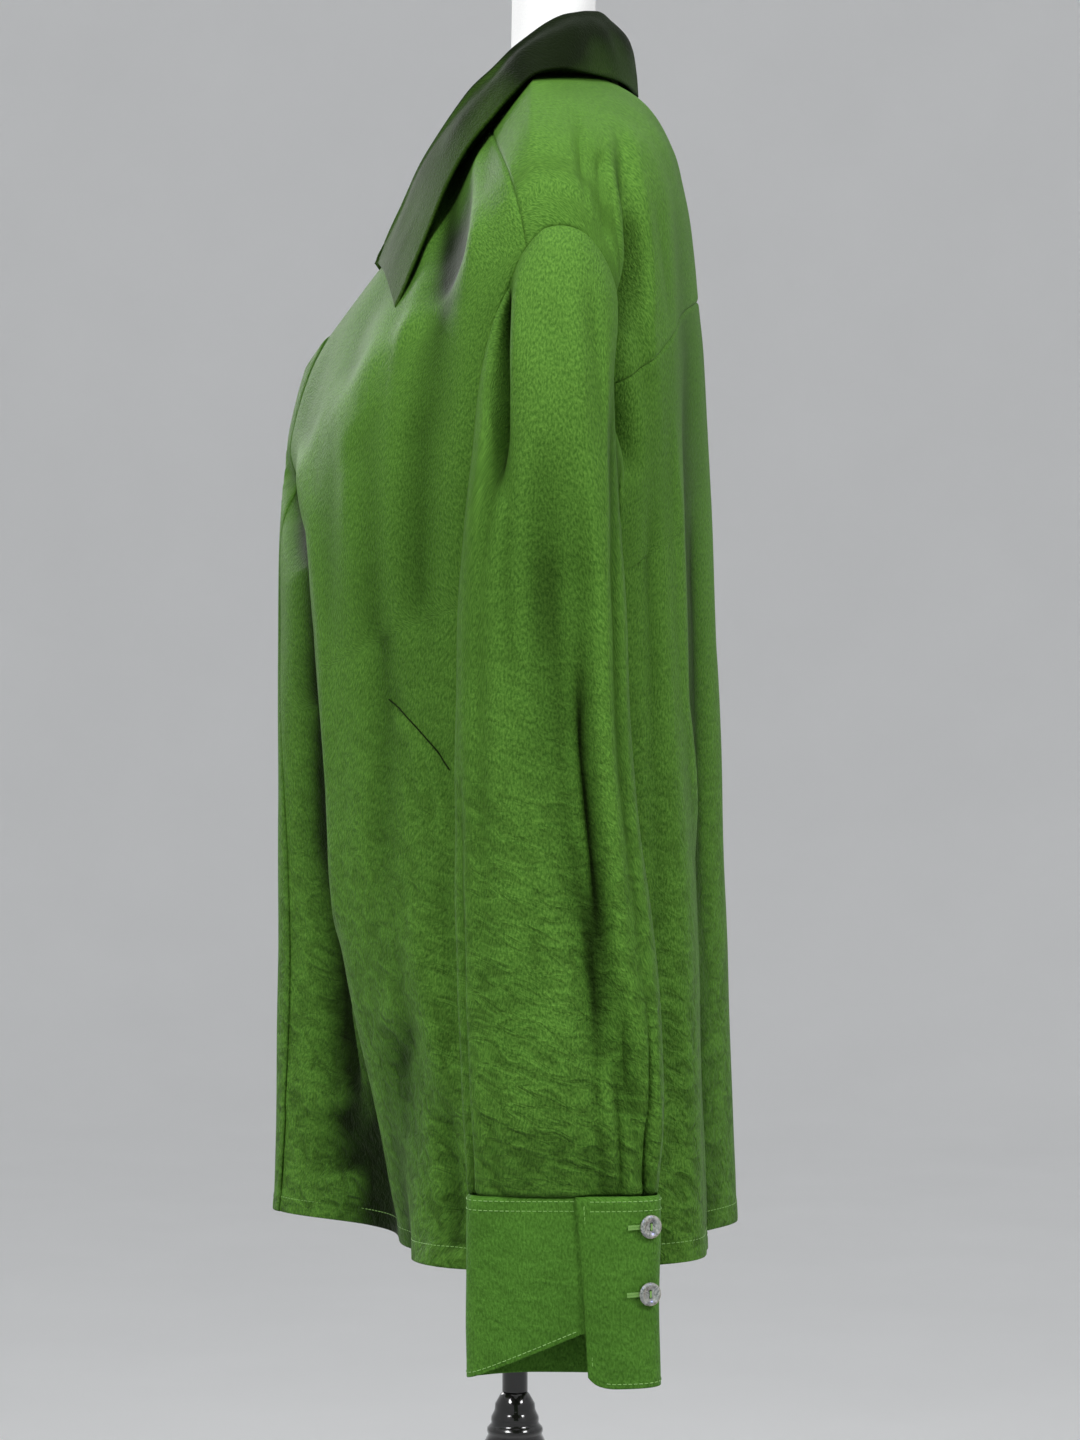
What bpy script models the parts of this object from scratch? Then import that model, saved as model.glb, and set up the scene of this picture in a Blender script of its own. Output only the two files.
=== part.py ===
"""Button-up blouse of crepe-backed satin, worn by a limbless dress form on a turned stand.

Metres, +Z up. The origin is on the floor under the pole; the front faces -Y and the wearer's
left is +X. Every cut and sewn piece is a wall of its own, 0.3 mm from the piece it is sewn to.
The body of the blouse is one surface over two coordinates: "along" runs from the neckline (0)
to the hem (1), and "angle" from the centre front (0) over the left side (+90) to the centre
back (180), or over the right side (-90). The pieces are cut out of that surface.
"""

import math

import bmesh
import bpy
from mathutils import Vector

# Driving dimensions.
CLOTH = 0.0015  # thickness of the cloth walls
SEAM_GAP = 0.0003  # between two pieces that are sewn together
FRONT_OVERLAP = 0.016  # how far each front passes the centre line
FRONT_LAP_GAP = 0.0014  # between the two fronts where they lap
FRONT_LAP_MARGIN = 0.004  # beyond the lap, before the upper front starts to come down
FRONT_LAP_FADE = 0.014  # over which it comes down again

ARMHOLE_CENTRE_ALONG = 0.50
ARMHOLE_HALF_ALONG = 0.12
ARMHOLE_CENTRE_ANGLE = 93.0
ARMHOLE_FRONT_DEGREES = 17.0
ARMHOLE_BACK_DEGREES = 21.0
ARMHOLE_STEP = 15  # degrees between two points of the armhole
YOKE_FRONT_POINT = -30  # where the yoke's front seam meets the armhole
YOKE_BACK_POINT = 90  # where the yoke's back seam meets the armhole
YOKE_FRONT_NECK_ANGLE = 72.0
YOKE_SEAM_CURVE = 1.6  # the power that bends the yoke's front seam
YOKE_BACK_RISE = 0.055  # how much nearer the neckline the back seam is at the centre back
YOKE_BACK_CURVE = 1.5  # the power that bends the back seam
SIDE_SEAM_ANGLE = 90.0

YOKE_ROWS = 5
HEM_ROWS = 10
FRONT_COLUMNS = 13  # from the lap to the side
FRONT_CROWDING = 0.25  # how much closer the columns are near the lap
BACK_COLUMNS = 13  # on each side of the centre back

CUFF_TOP = 0.7320
CUFF_CENTRE = (0.2530, 0.0268)
CUFF_HALF_THICK = 0.0125
CUFF_HALF_WIDE = 0.0480
CUFF_FLATNESS = 0.60
CUFF_START = 4.0  # degrees, the buttonhole end on the outer side
CUFF_END = 408.0  # degrees, the button end under it
CUFF_SPIRAL = 0.0024  # how far the outer end stands off the inner one
CUFF_COLUMNS = 36
CUFF_ROWS = 2

BUTTON_RADIUS = 0.0062
BUTTON_THICK = 0.0020
BUTTON_STAND_OFF = 0.0007  # the thread shank between cuff and button
BUTTON_PLACES = ((58.0, 0.7165), (57.0, 0.6815))  # angle on the cuff, height

FORM_BOTTOM = 0.735
POLE_RADIUS = 0.0076
POLE_TOP_OF_KNOB = 0.5805
TURNED_SIDES = 20


def table(columns, *rows):
    """Rows of numbers under named columns."""
    names = columns.split()
    return [dict(zip(names, row)) for row in rows]


# Rings of the body: where each crosses the centre front, the side and the centre back.
BODY_RINGS = table(
    "along front_y front_z side_x side_y side_z back_y back_z fall_power front_power",
    (0.00, -0.1220, 1.1900, 0.0720, 0.0120, 1.3510, 0.0590, 1.3540, 1.50, 1.50),
    (0.10, -0.1260, 1.1760, 0.1250, 0.0110, 1.3340, 0.0785, 1.3370, 1.45, 1.45),
    (0.22, -0.1320, 1.1500, 0.1860, 0.0110, 1.3035, 0.0925, 1.3110, 1.50, 1.45),
    (0.30, -0.1350, 1.1280, 0.2170, 0.0130, 1.2770, 0.0975, 1.2920, 1.65, 1.38),
    (0.38, -0.1370, 1.1000, 0.2335, 0.0180, 1.2405, 0.1025, 1.2620, 1.80, 1.20),
    (0.50, -0.1382, 1.0450, 0.2350, 0.0200, 1.1500, 0.1095, 1.1870, 2.00, 1.10),
    (0.62, -0.1385, 0.9850, 0.2110, 0.0200, 1.0450, 0.1155, 1.0750, 2.00, 1.00),
    (0.75, -0.1385, 0.8900, 0.2060, 0.0200, 0.9300, 0.1205, 0.9400, 2.00, 1.00),
    (0.88, -0.1390, 0.7850, 0.2110, 0.0170, 0.8050, 0.1250, 0.8080, 2.00, 1.00),
    (1.00, -0.1410, 0.6900, 0.2200, 0.0120, 0.6860, 0.1295, 0.6900, 2.00, 1.00),
)
BACK_POWER = 0.85  # a power under 1 squares the ring's corners, one over 1 flattens them

# Folds of the body: depth is positive where the cloth stands out. Each starts, is full and
# is gone at a place along the surface, and the right side has it a little further round.
BODY_FOLDS = table(
    "top_angle hem_angle half_width start full gone depth right_shift",
    (19.7, 22.6, 22.0, 0.42, 1.02, 9.0, -0.055, 2.0),
    (33.3, 44.5, 25.5, 0.74, 1.10, 9.0, -0.060, -2.0),
    (90.0, 90.0, 17.0, 0.62, 0.95, 9.0, -0.008, 0.0),
    (118.0, 126.0, 16.0, 0.45, 1.00, 9.0, 0.014, 4.0),
    (146.0, 154.0, 15.0, 0.25, 1.00, 9.0, -0.020, 2.0),
    (56.0, 56.0, 27.0, 0.02, 0.24, 0.50, -0.009, 0.0),
    (62.0, 64.0, 9.0, 0.12, 0.34, 0.75, -0.006, 0.0),
    (47.0, 44.0, 8.0, 0.10, 0.30, 0.70, 0.004, 1.0),
    (104.0, 104.0, 5.0, 0.18, 0.30, 0.42, -0.005, 0.0),
    (120.0, 122.0, 7.0, 0.20, 0.36, 0.62, -0.008, 0.0),
)

# Rings of the sleeve below the armhole, from the upper arm to the cuff.
SLEEVE_RINGS = table(
    "down height front_y back_y inner_x outer_x",
    (0.00, 1.0450, -0.0285, 0.0600, 0.2215, 0.2700),
    (0.25, 0.9570, -0.0295, 0.0640, 0.2225, 0.2750),
    (0.50, 0.8800, -0.0295, 0.0735, 0.2235, 0.2785),
    (0.72, 0.8150, -0.0280, 0.0790, 0.2250, 0.2815),
    (0.86, 0.7700, -0.0255, 0.0795, 0.2275, 0.2810),
    (1.00, 0.7324, -0.0232, 0.0768, 0.2385, 0.2690),
)
SLEEVE_CAP_ROWS = 6
SLEEVE_ROWS = 10
SLEEVE_ROUNDNESS = 0.80
SLEEVE_CAP_BULGE = 0.012
SLEEVE_CAP_POWER = 1.25  # how late the cap leaves the armhole's line

# Folds of the sleeve: 0 degrees is the outer side, 90 the back and -90 the front.
SLEEVE_FOLDS = table(
    "top_angle cuff_angle half_width start full gone depth",
    (-50.0, -35.0, 17.0, 0.02, 0.14, 0.55, -0.012),
    (-14.0, 16.0, 13.0, 0.25, 0.70, 1.30, -0.005),
    (18.0, 30.0, 12.0, 0.40, 0.75, 1.30, -0.005),
    (60.0, 55.0, 16.0, 0.02, 0.30, 1.30, -0.004),
    (62.0, 62.0, 9.0, 0.80, 0.95, 1.30, -0.007),
    (180.0, 172.0, 22.0, 0.20, 0.60, 1.30, -0.006),
    (-70.0, -72.0, 12.0, 0.55, 0.85, 1.30, -0.004),
)

# The collar from the centre back (0) to its point (1): the neckline it is sewn to, the roll
# line it stands up to, and its falling edge.
COLLAR_SHAPE = table(
    "t neck_angle roll_x roll_y roll_z fall_x fall_y fall_z roll_width",
    (0.00, 180.0, 0.0000, 0.0560, 1.3940, 0.0000, 0.0738, 1.3510, 0.0040),
    (0.12, 162.0, 0.0210, 0.0535, 1.3950, 0.0340, 0.0680, 1.3505, 0.0040),
    (0.21, 146.0, 0.0380, 0.0475, 1.3945, 0.0600, 0.0605, 1.3500, 0.0040),
    (0.30, 124.0, 0.0550, 0.0370, 1.3910, 0.0840, 0.0481, 1.3490, 0.0040),
    (0.36, 106.0, 0.0660, 0.0270, 1.3865, 0.1000, 0.0370, 1.3485, 0.0040),
    (0.41, 92.0, 0.0730, 0.0140, 1.3780, 0.1100, 0.0256, 1.3480, 0.0040),
    (0.46, 72.5, 0.0765, -0.0020, 1.3655, 0.1165, 0.0110, 1.3435, 0.0040),
    (0.51, 64.5, 0.0750, -0.0142, 1.3530, 0.1185, -0.0008, 1.3328, 0.0038),
    (0.57, 58.2, 0.0715, -0.0268, 1.3405, 0.1190, -0.0125, 1.3195, 0.0036),
    (0.64, 53.3, 0.0665, -0.0415, 1.3225, 0.1185, -0.0260, 1.3030, 0.0034),
    (0.73, 49.1, 0.0600, -0.0560, 1.2990, 0.1200, -0.0385, 1.2800, 0.0030),
    (0.82, 45.4, 0.0530, -0.0675, 1.2755, 0.1225, -0.0480, 1.2560, 0.0026),
    (0.90, 42.3, 0.0475, -0.0756, 1.2585, 0.1300, -0.0565, 1.2340, 0.0022),
    (1.00, 39.6, 0.0395, -0.0802, 1.2485, 0.1420, -0.0657, 1.2090, 0.0016),
)
COLLAR_STEPS = 22  # on each side of the centre back
COLLAR_FALL_BULGE = 0.004
COLLAR_ROLL_DROP = 0.003  # from the roll line's crest to either side of it
COLLAR_SEAM = 0.0008  # from the neckline's edge to the collar at the back, doubled at its ends

# Rings of the dress form.
FORM_RINGS = table(
    "height half_x front_y back_y",
    (0.735, 0.1250, -0.0480, 0.0800),
    (0.760, 0.1350, -0.0540, 0.0880),
    (0.830, 0.1420, -0.0690, 0.0920),
    (0.930, 0.1380, -0.0860, 0.0780),
    (0.990, 0.1260, -0.0830, 0.0700),
    (1.060, 0.1360, -0.1000, 0.0740),
    (1.130, 0.1500, -0.1180, 0.0820),
    (1.180, 0.1540, -0.1040, 0.0860),
    (1.230, 0.1620, -0.0740, 0.0860),
    (1.270, 0.1690, -0.0420, 0.0820),
    (1.295, 0.1720, -0.0270, 0.0760),
    (1.309, 0.1640, -0.0180, 0.0700),
    (1.323, 0.1440, -0.0110, 0.0630),
    (1.3373, 0.1140, 0.0002, 0.0560),
    (1.349, 0.0700, 0.0035, 0.0505),
    (1.360, 0.0380, -0.0040, 0.0495),
    (1.380, 0.0285, -0.0025, 0.0485),
    (1.405, 0.0262, -0.0020, 0.0482),
    (1.428, 0.0260, -0.0018, 0.0480),
    (1.432, 0.0225, 0.0017, 0.0445),
)
FORM_SIDES = 30

# Turned profiles, radius and height from the top down.
KNOB_PROFILE = (
    (0.0078, 0.5805),
    (0.0118, 0.5735),
    (0.0140, 0.5660),
    (0.0164, 0.5600),
    (0.0164, 0.5565),
    (0.0215, 0.5420),
    (0.0205, 0.5240),
    (0.0140, 0.5020),
    (0.0165, 0.4920),
    (0.0150, 0.4700),
)
COLUMN_PROFILE = (
    (0.0150, 0.4697),
    (0.0175, 0.4650),
    (0.0175, 0.4600),
    (0.0140, 0.4540),
    (0.0135, 0.4200),
    (0.0165, 0.2600),
    (0.0170, 0.1600),
    (0.0150, 0.1150),
    (0.0185, 0.1080),
    (0.0190, 0.1000),
    (0.0160, 0.0930),
    (0.0240, 0.0780),
    (0.0250, 0.0640),
)
BASE_PROFILE = (
    (0.0420, 0.0637),
    (0.0440, 0.0560),
    (0.0650, 0.0400),
    (0.1050, 0.0290),
    (0.1350, 0.0240),
    (0.1460, 0.0190),
    (0.1500, 0.0120),
    (0.1490, 0.0000),
)


def clear_scene():
    for thing in list(bpy.data.objects):
        bpy.data.objects.remove(thing, do_unlink=True)


def clamp(value, low=0.0, high=1.0):
    return max(low, min(high, value))


def smooth_step(value):
    value = clamp(value)
    return value * value * (3 - 2 * value)


def read(rows, column, at):
    """A column's value on a smooth curve through the rows; the first column is the place."""
    key = next(iter(rows[0]))
    if at <= rows[0][key]:
        return rows[0][column]
    if at >= rows[-1][key]:
        return rows[-1][column]
    i = max(k for k in range(len(rows) - 1) if rows[k][key] <= at)
    slopes = []
    for k in (i, i + 1):
        low, high = max(k - 1, 0), min(k + 1, len(rows) - 1)
        rise = rows[high][column] - rows[low][column]
        slopes.append(rise / (rows[high][key] - rows[low][key]))
    span = rows[i + 1][key] - rows[i][key]
    t = (at - rows[i][key]) / span
    return (
        (2 * t**3 - 3 * t**2 + 1) * rows[i][column]
        + (t**3 - 2 * t**2 + t) * span * slopes[0]
        + (3 * t**2 - 2 * t**3) * rows[i + 1][column]
        + (t**3 - t**2) * span * slopes[1]
    )


def signed_power(value, power):
    return math.copysign(abs(value) ** power, value)


def turn_difference(a, b):
    """Degrees from b to a, between -180 and 180."""
    return (a - b + 180) % 360 - 180


def bump(distance, half_width):
    """A soft rise of 1 that ends at the half width."""
    share = abs(distance) / half_width
    return 0.5 + 0.5 * math.cos(math.pi * share) if share < 1 else 0.0


# The surface of the body.


def body_ring(along):
    return {name: read(BODY_RINGS, name, along) for name in BODY_RINGS[0] if name != "along"}


def body_smooth(along, angle, ring=None):
    """Point of the body's surface without its folds."""
    ring = ring or body_ring(along)
    turn = math.radians(angle)
    to_front = math.cos(turn) >= 0
    power = ring["front_power"] if to_front else BACK_POWER
    end_y = ring["front_y"] if to_front else ring["back_y"]
    end_z = ring["front_z"] if to_front else ring["back_z"]
    share = abs(math.cos(turn))
    return Vector(
        (
            ring["side_x"] * signed_power(math.sin(turn), power),
            ring["side_y"] + (end_y - ring["side_y"]) * share**power,
            ring["side_z"] + (end_z - ring["side_z"]) * share ** ring["fall_power"],
        )
    )


def across(surface, along, angle):
    """Unit normal of a surface of the two coordinates, pointing away from the wearer."""
    step_along, step_angle = 0.004, 1.0
    low, high = max(along - step_along, 0.0), min(along + step_along, 1.0)
    down = surface(high, angle) - surface(low, angle)
    round_it = surface(along, angle + step_angle) - surface(along, angle - step_angle)
    return round_it.cross(down).normalized() * -1


def body_fold(along, angle):
    side = 1 if math.sin(math.radians(angle)) >= 0 else -1
    reach = abs(turn_difference(angle, 0))
    total = 0.0
    for row in BODY_FOLDS:
        middle = row["top_angle"] + (row["hem_angle"] - row["top_angle"]) * along
        middle += row["right_shift"] if side < 0 else 0.0
        strength = smooth_step((along - row["start"]) / (row["full"] - row["start"]))
        if row["gone"] < 2:
            strength *= 1 - smooth_step((along - row["full"]) / (row["gone"] - row["full"]))
        total += row["depth"] * strength * bump(reach - middle, row["half_width"])
    return total


def body(along, angle):
    """Point of the inner face of the blouse's body."""
    return body_smooth(along, angle) + across(body_smooth, along, angle) * body_fold(along, angle)


def body_normal(along, angle):
    return across(body, along, angle)


def degrees_for(distance, along, angle):
    """How many degrees a distance round the body is."""
    return distance / (body(along, angle + 0.5) - body(along, angle - 0.5)).length


def along_for(distance, along, angle):
    """How much of the way along a distance down the body is."""
    high = min(along + 0.01, 1.0)
    return distance * (high - along) / max((body(high, angle) - body(along, angle)).length, 1e-6)


# The armhole, as a closed line on the body's surface.


def armhole(turn):
    """Along and angle of the left armhole: 0 at the top, 90 at the back, 180 under the arm."""
    sine, cosine = math.sin(math.radians(turn)), math.cos(math.radians(turn))
    reach = ARMHOLE_BACK_DEGREES if sine > 0 else ARMHOLE_FRONT_DEGREES
    along = ARMHOLE_CENTRE_ALONG - ARMHOLE_HALF_ALONG * cosine
    middle = ARMHOLE_CENTRE_ANGLE + (SIDE_SEAM_ANGLE - ARMHOLE_CENTRE_ANGLE) * (1 - cosine) / 2
    return along, middle + reach * sine


def yoke_front_seam(along):
    end_along, end_angle = armhole(YOKE_FRONT_POINT)
    share = (along / end_along) ** YOKE_SEAM_CURVE
    return YOKE_FRONT_NECK_ANGLE + (end_angle - YOKE_FRONT_NECK_ANGLE) * share


def back_seam_rise(share):
    """How much nearer the neckline the yoke's back seam is, from the centre back (0) out (1)."""
    return YOKE_BACK_RISE * (1 - share**YOKE_BACK_CURVE)


# Walls.


def finish_object(name, shape, material, smooth_angle=35):
    mesh = bpy.data.meshes.new(name)
    bmesh.ops.recalc_face_normals(shape, faces=shape.faces)
    shape.to_mesh(mesh)
    shape.free()
    mesh.shade_smooth()
    mesh.set_sharp_from_angle(angle=math.radians(smooth_angle))
    mesh.materials.append(material)
    thing = bpy.data.objects.new(name, mesh)
    bpy.context.scene.collection.objects.link(thing)
    return thing


def wall(name, inner, outer, material, round_it=False):
    """A closed wall between two equal grids of points; round_it joins the last column to the first."""
    shape = bmesh.new()
    near = [[shape.verts.new(p) for p in row] for row in inner]
    far = [[shape.verts.new(p) for p in row] for row in outer]
    rows, columns = len(inner), len(inner[0])
    last = columns if round_it else columns - 1
    for r in range(rows - 1):
        for c in range(last):
            d = (c + 1) % columns
            shape.faces.new((near[r][c], near[r][d], near[r + 1][d], near[r + 1][c]))
            shape.faces.new((far[r][c], far[r + 1][c], far[r + 1][d], far[r][d]))
    for c in range(last):
        d = (c + 1) % columns
        shape.faces.new((near[0][d], near[0][c], far[0][c], far[0][d]))
        shape.faces.new((near[-1][c], near[-1][d], far[-1][d], far[-1][c]))
    if not round_it:
        for r in range(rows - 1):
            shape.faces.new((near[r][0], near[r + 1][0], far[r + 1][0], far[r][0]))
            shape.faces.new((near[r + 1][-1], near[r][-1], far[r][-1], far[r + 1][-1]))
    return finish_object(name, shape, material)


def body_panel(name, places, material, lift=None):
    """A wall cut out of the body's surface, from a grid of (along, angle) places."""
    inner, outer = [], []
    for row in places:
        inner.append([])
        outer.append([])
        for along, angle in row:
            normal = body_normal(along, angle)
            point = body(along, angle)
            if lift:
                point = point + normal * lift(point)
            inner[-1].append(point)
            outer[-1].append(point + normal * CLOTH)
    return wall(name, inner, outer, material)


def panel_rows():
    """Places along the surface that the rows of the front panels share with the seams."""
    seam_end = armhole(YOKE_FRONT_POINT)[0]
    rows = [(seam_end * k / YOKE_ROWS, None) for k in range(YOKE_ROWS)]
    for turn in range(YOKE_FRONT_POINT, -180 - 1, -ARMHOLE_STEP):
        rows.append((armhole(turn)[0], turn))
    bottom = rows[-1][0]
    rows += [(bottom + (1 - bottom) * k / HEM_ROWS, None) for k in range(1, HEM_ROWS + 1)]
    return rows


def front_outer_angle(along, turn):
    """The outer edge of a front: the yoke's front seam, the armhole, then the side seam."""
    if turn is not None:
        return armhole(turn)[1]
    if along < armhole(YOKE_FRONT_POINT)[0]:
        return yoke_front_seam(along)
    return SIDE_SEAM_ANGLE


def make_front(name, side, material):
    """One front. The right one lies over the left one at the centre."""
    places = []
    for along, turn in panel_rows():
        outer_angle = front_outer_angle(along, turn)
        outer_angle -= degrees_for(SEAM_GAP / 2, along, outer_angle)
        ring = body_ring(along)
        past_centre = (FRONT_OVERLAP / ring["side_x"]) ** (1 / ring["front_power"])
        inner_angle = -math.degrees(math.asin(past_centre))
        angles = [inner_angle, inner_angle / 2, 0.0, -inner_angle / 2]
        for c in range(FRONT_COLUMNS + 1):
            share = c / FRONT_COLUMNS
            share = (1 - FRONT_CROWDING) * share + FRONT_CROWDING * share**2
            angles.append(-inner_angle + (outer_angle + inner_angle) * share)
        places.append([(along, side * angle) for angle in angles])

    def over(point):
        past = point.x * side - FRONT_OVERLAP - FRONT_LAP_MARGIN
        return (CLOTH + FRONT_LAP_GAP) * (1 - smooth_step(past / FRONT_LAP_FADE))

    body_panel(name, places, material, lift=over if side < 0 else None)


def yoke_edge():
    """The yoke's outer edge on the left, from its front seam to the centre back."""
    edge = [armhole(t) for t in range(YOKE_FRONT_POINT, YOKE_BACK_POINT + 1, ARMHOLE_STEP)]
    along, angle = edge[-1]
    for c in range(1, BACK_COLUMNS + 1):
        share = 1 - c / BACK_COLUMNS
        edge.append((along - back_seam_rise(share), 180 + (angle - 180) * share))
    return edge


def make_yoke(material):
    edge = yoke_edge()
    half = []
    for k, (along, angle) in enumerate(edge):
        share = k / (len(edge) - 1)
        neck_angle = YOKE_FRONT_NECK_ANGLE + (180 - YOKE_FRONT_NECK_ANGLE) * share
        half.append((neck_angle, along, angle))
    columns = half + [(360 - n, along, 360 - angle) for n, along, angle in half[-2::-1]]
    places = []
    for r in range(YOKE_ROWS + 1):
        share = r / YOKE_ROWS
        row = []
        for k, (neck_angle, along, angle) in enumerate(columns):
            at = along * share
            turned = neck_angle + (angle - neck_angle) * share**YOKE_SEAM_CURVE
            if r == YOKE_ROWS:
                at -= along_for(SEAM_GAP / 2, at, turned)
            if k == 0:
                turned += degrees_for(SEAM_GAP / 2, at, turned)
            if k == len(columns) - 1:
                turned -= degrees_for(SEAM_GAP / 2, at, turned)
            row.append((at, turned))
        places.append(row)
    body_panel("yoke", places, material)


def make_back(material):
    top = armhole(YOKE_BACK_POINT)[0]
    rows = [(armhole(t)[0], t) for t in range(YOKE_BACK_POINT, 181, ARMHOLE_STEP)]
    bottom = rows[-1][0]
    rows += [(bottom + (1 - bottom) * k / HEM_ROWS, None) for k in range(1, HEM_ROWS + 1)]
    places = []
    for k, (along, turn) in enumerate(rows):
        outer_angle = SIDE_SEAM_ANGLE if turn is None else armhole(turn)[1]
        outer_angle += degrees_for(SEAM_GAP / 2, along, outer_angle)
        row = []
        for c in range(-BACK_COLUMNS, BACK_COLUMNS + 1):
            share = abs(c) / BACK_COLUMNS
            angle = 180 + math.copysign(1, c) * (180 - outer_angle) * share
            at = along - back_seam_rise(share) * (1 - along) / (1 - top)
            if k == 0:
                at += along_for(SEAM_GAP / 2, at, angle)
            row.append((at, angle))
        places.append(row)
    body_panel("back", places, material)


# Sleeves and cuffs.


def flat_round(centre_x, centre_y, half_x, half_y, turn, flatness):
    """Point in plan of a flattened tube: 0 degrees is +X and 90 is +Y."""
    cosine, sine = math.cos(math.radians(turn)), math.sin(math.radians(turn))
    return (
        centre_x + half_x * signed_power(cosine, flatness),
        centre_y + half_y * signed_power(sine, flatness),
    )


def sleeve_ring(down, turn):
    inner_x, outer_x = read(SLEEVE_RINGS, "inner_x", down), read(SLEEVE_RINGS, "outer_x", down)
    front_y, back_y = read(SLEEVE_RINGS, "front_y", down), read(SLEEVE_RINGS, "back_y", down)
    x, y = flat_round(
        (inner_x + outer_x) / 2,
        (front_y + back_y) / 2,
        (outer_x - inner_x) / 2 - CLOTH,
        (back_y - front_y) / 2 - CLOTH,
        turn,
        SLEEVE_ROUNDNESS,
    )
    return Vector((x, y, read(SLEEVE_RINGS, "height", down)))


def sleeve_smooth(down, turn):
    """Left sleeve's inner face; down is -1 at the armhole, 0 at the upper arm, 1 at the cuff."""
    if down >= 0:
        return sleeve_ring(down, turn)
    share = down + 1
    along, angle = armhole(turn)
    normal = body_normal(along, angle)
    start = body(along, angle) + normal * (CLOTH + SEAM_GAP)
    end = sleeve_ring(0.0, turn)
    outward = SLEEVE_CAP_BULGE * math.sin(math.pi * share) * max(normal.x, 0)
    blend = share**SLEEVE_CAP_POWER
    point = start + (end - start) * blend
    point.x += (end.x - start.x) * (math.sqrt(share) - blend) + outward
    return point


def sleeve(down, turn):
    point = sleeve_smooth(down, turn)
    share = (down + 1) / 2
    total = 0.0
    for row in SLEEVE_FOLDS:
        middle = row["top_angle"] + (row["cuff_angle"] - row["top_angle"]) * share
        strength = smooth_step((share - row["start"]) / (row["full"] - row["start"]))
        strength *= 1 - smooth_step((share - row["full"]) / (row["gone"] - row["full"]))
        reach = abs(turn_difference(turn, middle))
        total += row["depth"] * strength * bump(reach, row["half_width"])
    if not total:
        return point
    low, high = sleeve_smooth(down, turn - 4), sleeve_smooth(down, turn + 4)
    outward = Vector((high.y - low.y, low.x - high.x, 0)).normalized()
    return point + outward * total


def mirrored(point, side):
    return Vector((point.x * side, point.y, point.z))


def make_sleeve(name, side, material):
    turns = list(range(0, 360, ARMHOLE_STEP))
    cap = [-1 + k / SLEEVE_CAP_ROWS for k in range(SLEEVE_CAP_ROWS)]
    downs = cap + [k / SLEEVE_ROWS for k in range(SLEEVE_ROWS + 1)]
    inner, outer = [], []
    for down in downs:
        inner.append([])
        outer.append([])
        for turn in turns:
            point = sleeve(down, turn)
            round_it = sleeve(down, turn + 3) - sleeve(down, turn - 3)
            low, high = max(down - 0.03, -1.0), min(down + 0.03, 1.0)
            lower = sleeve(high, turn) - sleeve(low, turn)
            normal = lower.cross(round_it).normalized() * -1
            inner[-1].append(mirrored(point, side))
            outer[-1].append(mirrored(point + normal * CLOTH, side))
    wall(name, inner, outer, material, round_it=True)


CUFF_BOTTOM = table(
    "turn height",
    (0.0, 0.6350),
    (12.0, 0.6325),
    (90.0, 0.6330),
    (180.0, 0.6360),
    (270.0, 0.6400),
    (330.0, 0.6500),
    (364.0, 0.6610),
    (408.0, 0.6690),
)


def cuff_line(turn):
    """The cuff's inner face in plan on the left, and the way out from it."""
    stand_off = CUFF_SPIRAL * (CUFF_END - turn) / (CUFF_END - CUFF_START)
    half = (CUFF_HALF_THICK, CUFF_HALF_WIDE)
    x, y = flat_round(*CUFF_CENTRE, *half, turn, CUFF_FLATNESS)
    low = flat_round(*CUFF_CENTRE, *half, turn - 2, CUFF_FLATNESS)
    high = flat_round(*CUFF_CENTRE, *half, turn + 2, CUFF_FLATNESS)
    outward = Vector((high[1] - low[1], low[0] - high[0], 0)).normalized()
    return Vector((x, y, 0)) + outward * stand_off, outward


def make_cuff(name, side, material):
    inner, outer = [], []
    for r in range(CUFF_ROWS + 1):
        inner.append([])
        outer.append([])
        for c in range(CUFF_COLUMNS + 1):
            turn = CUFF_START + (CUFF_END - CUFF_START) * c / CUFF_COLUMNS
            point, outward = cuff_line(turn)
            bottom = read(CUFF_BOTTOM, "height", turn)
            point.z = CUFF_TOP + (bottom - CUFF_TOP) * r / CUFF_ROWS
            inner[-1].append(mirrored(point, side))
            outer[-1].append(mirrored(point + outward * CLOTH, side))
    wall(name, inner, outer, material)


def make_cuff_button(name, side, turn, height, material):
    point, outward = cuff_line(turn)
    middle = point + outward * (CLOTH + BUTTON_STAND_OFF + BUTTON_THICK / 2)
    middle.z = height
    shape = bmesh.new()
    bmesh.ops.create_cone(
        shape,
        cap_ends=True,
        segments=16,
        radius1=BUTTON_RADIUS,
        radius2=BUTTON_RADIUS,
        depth=BUTTON_THICK,
    )
    facing = mirrored(outward, side)
    turned = facing.to_track_quat("Z", "Y").to_matrix().to_4x4()
    bmesh.ops.transform(shape, matrix=turned, verts=shape.verts)
    bmesh.ops.translate(shape, vec=mirrored(middle, side), verts=shape.verts)
    finish_object(name, shape, material)


# Collar.


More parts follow.
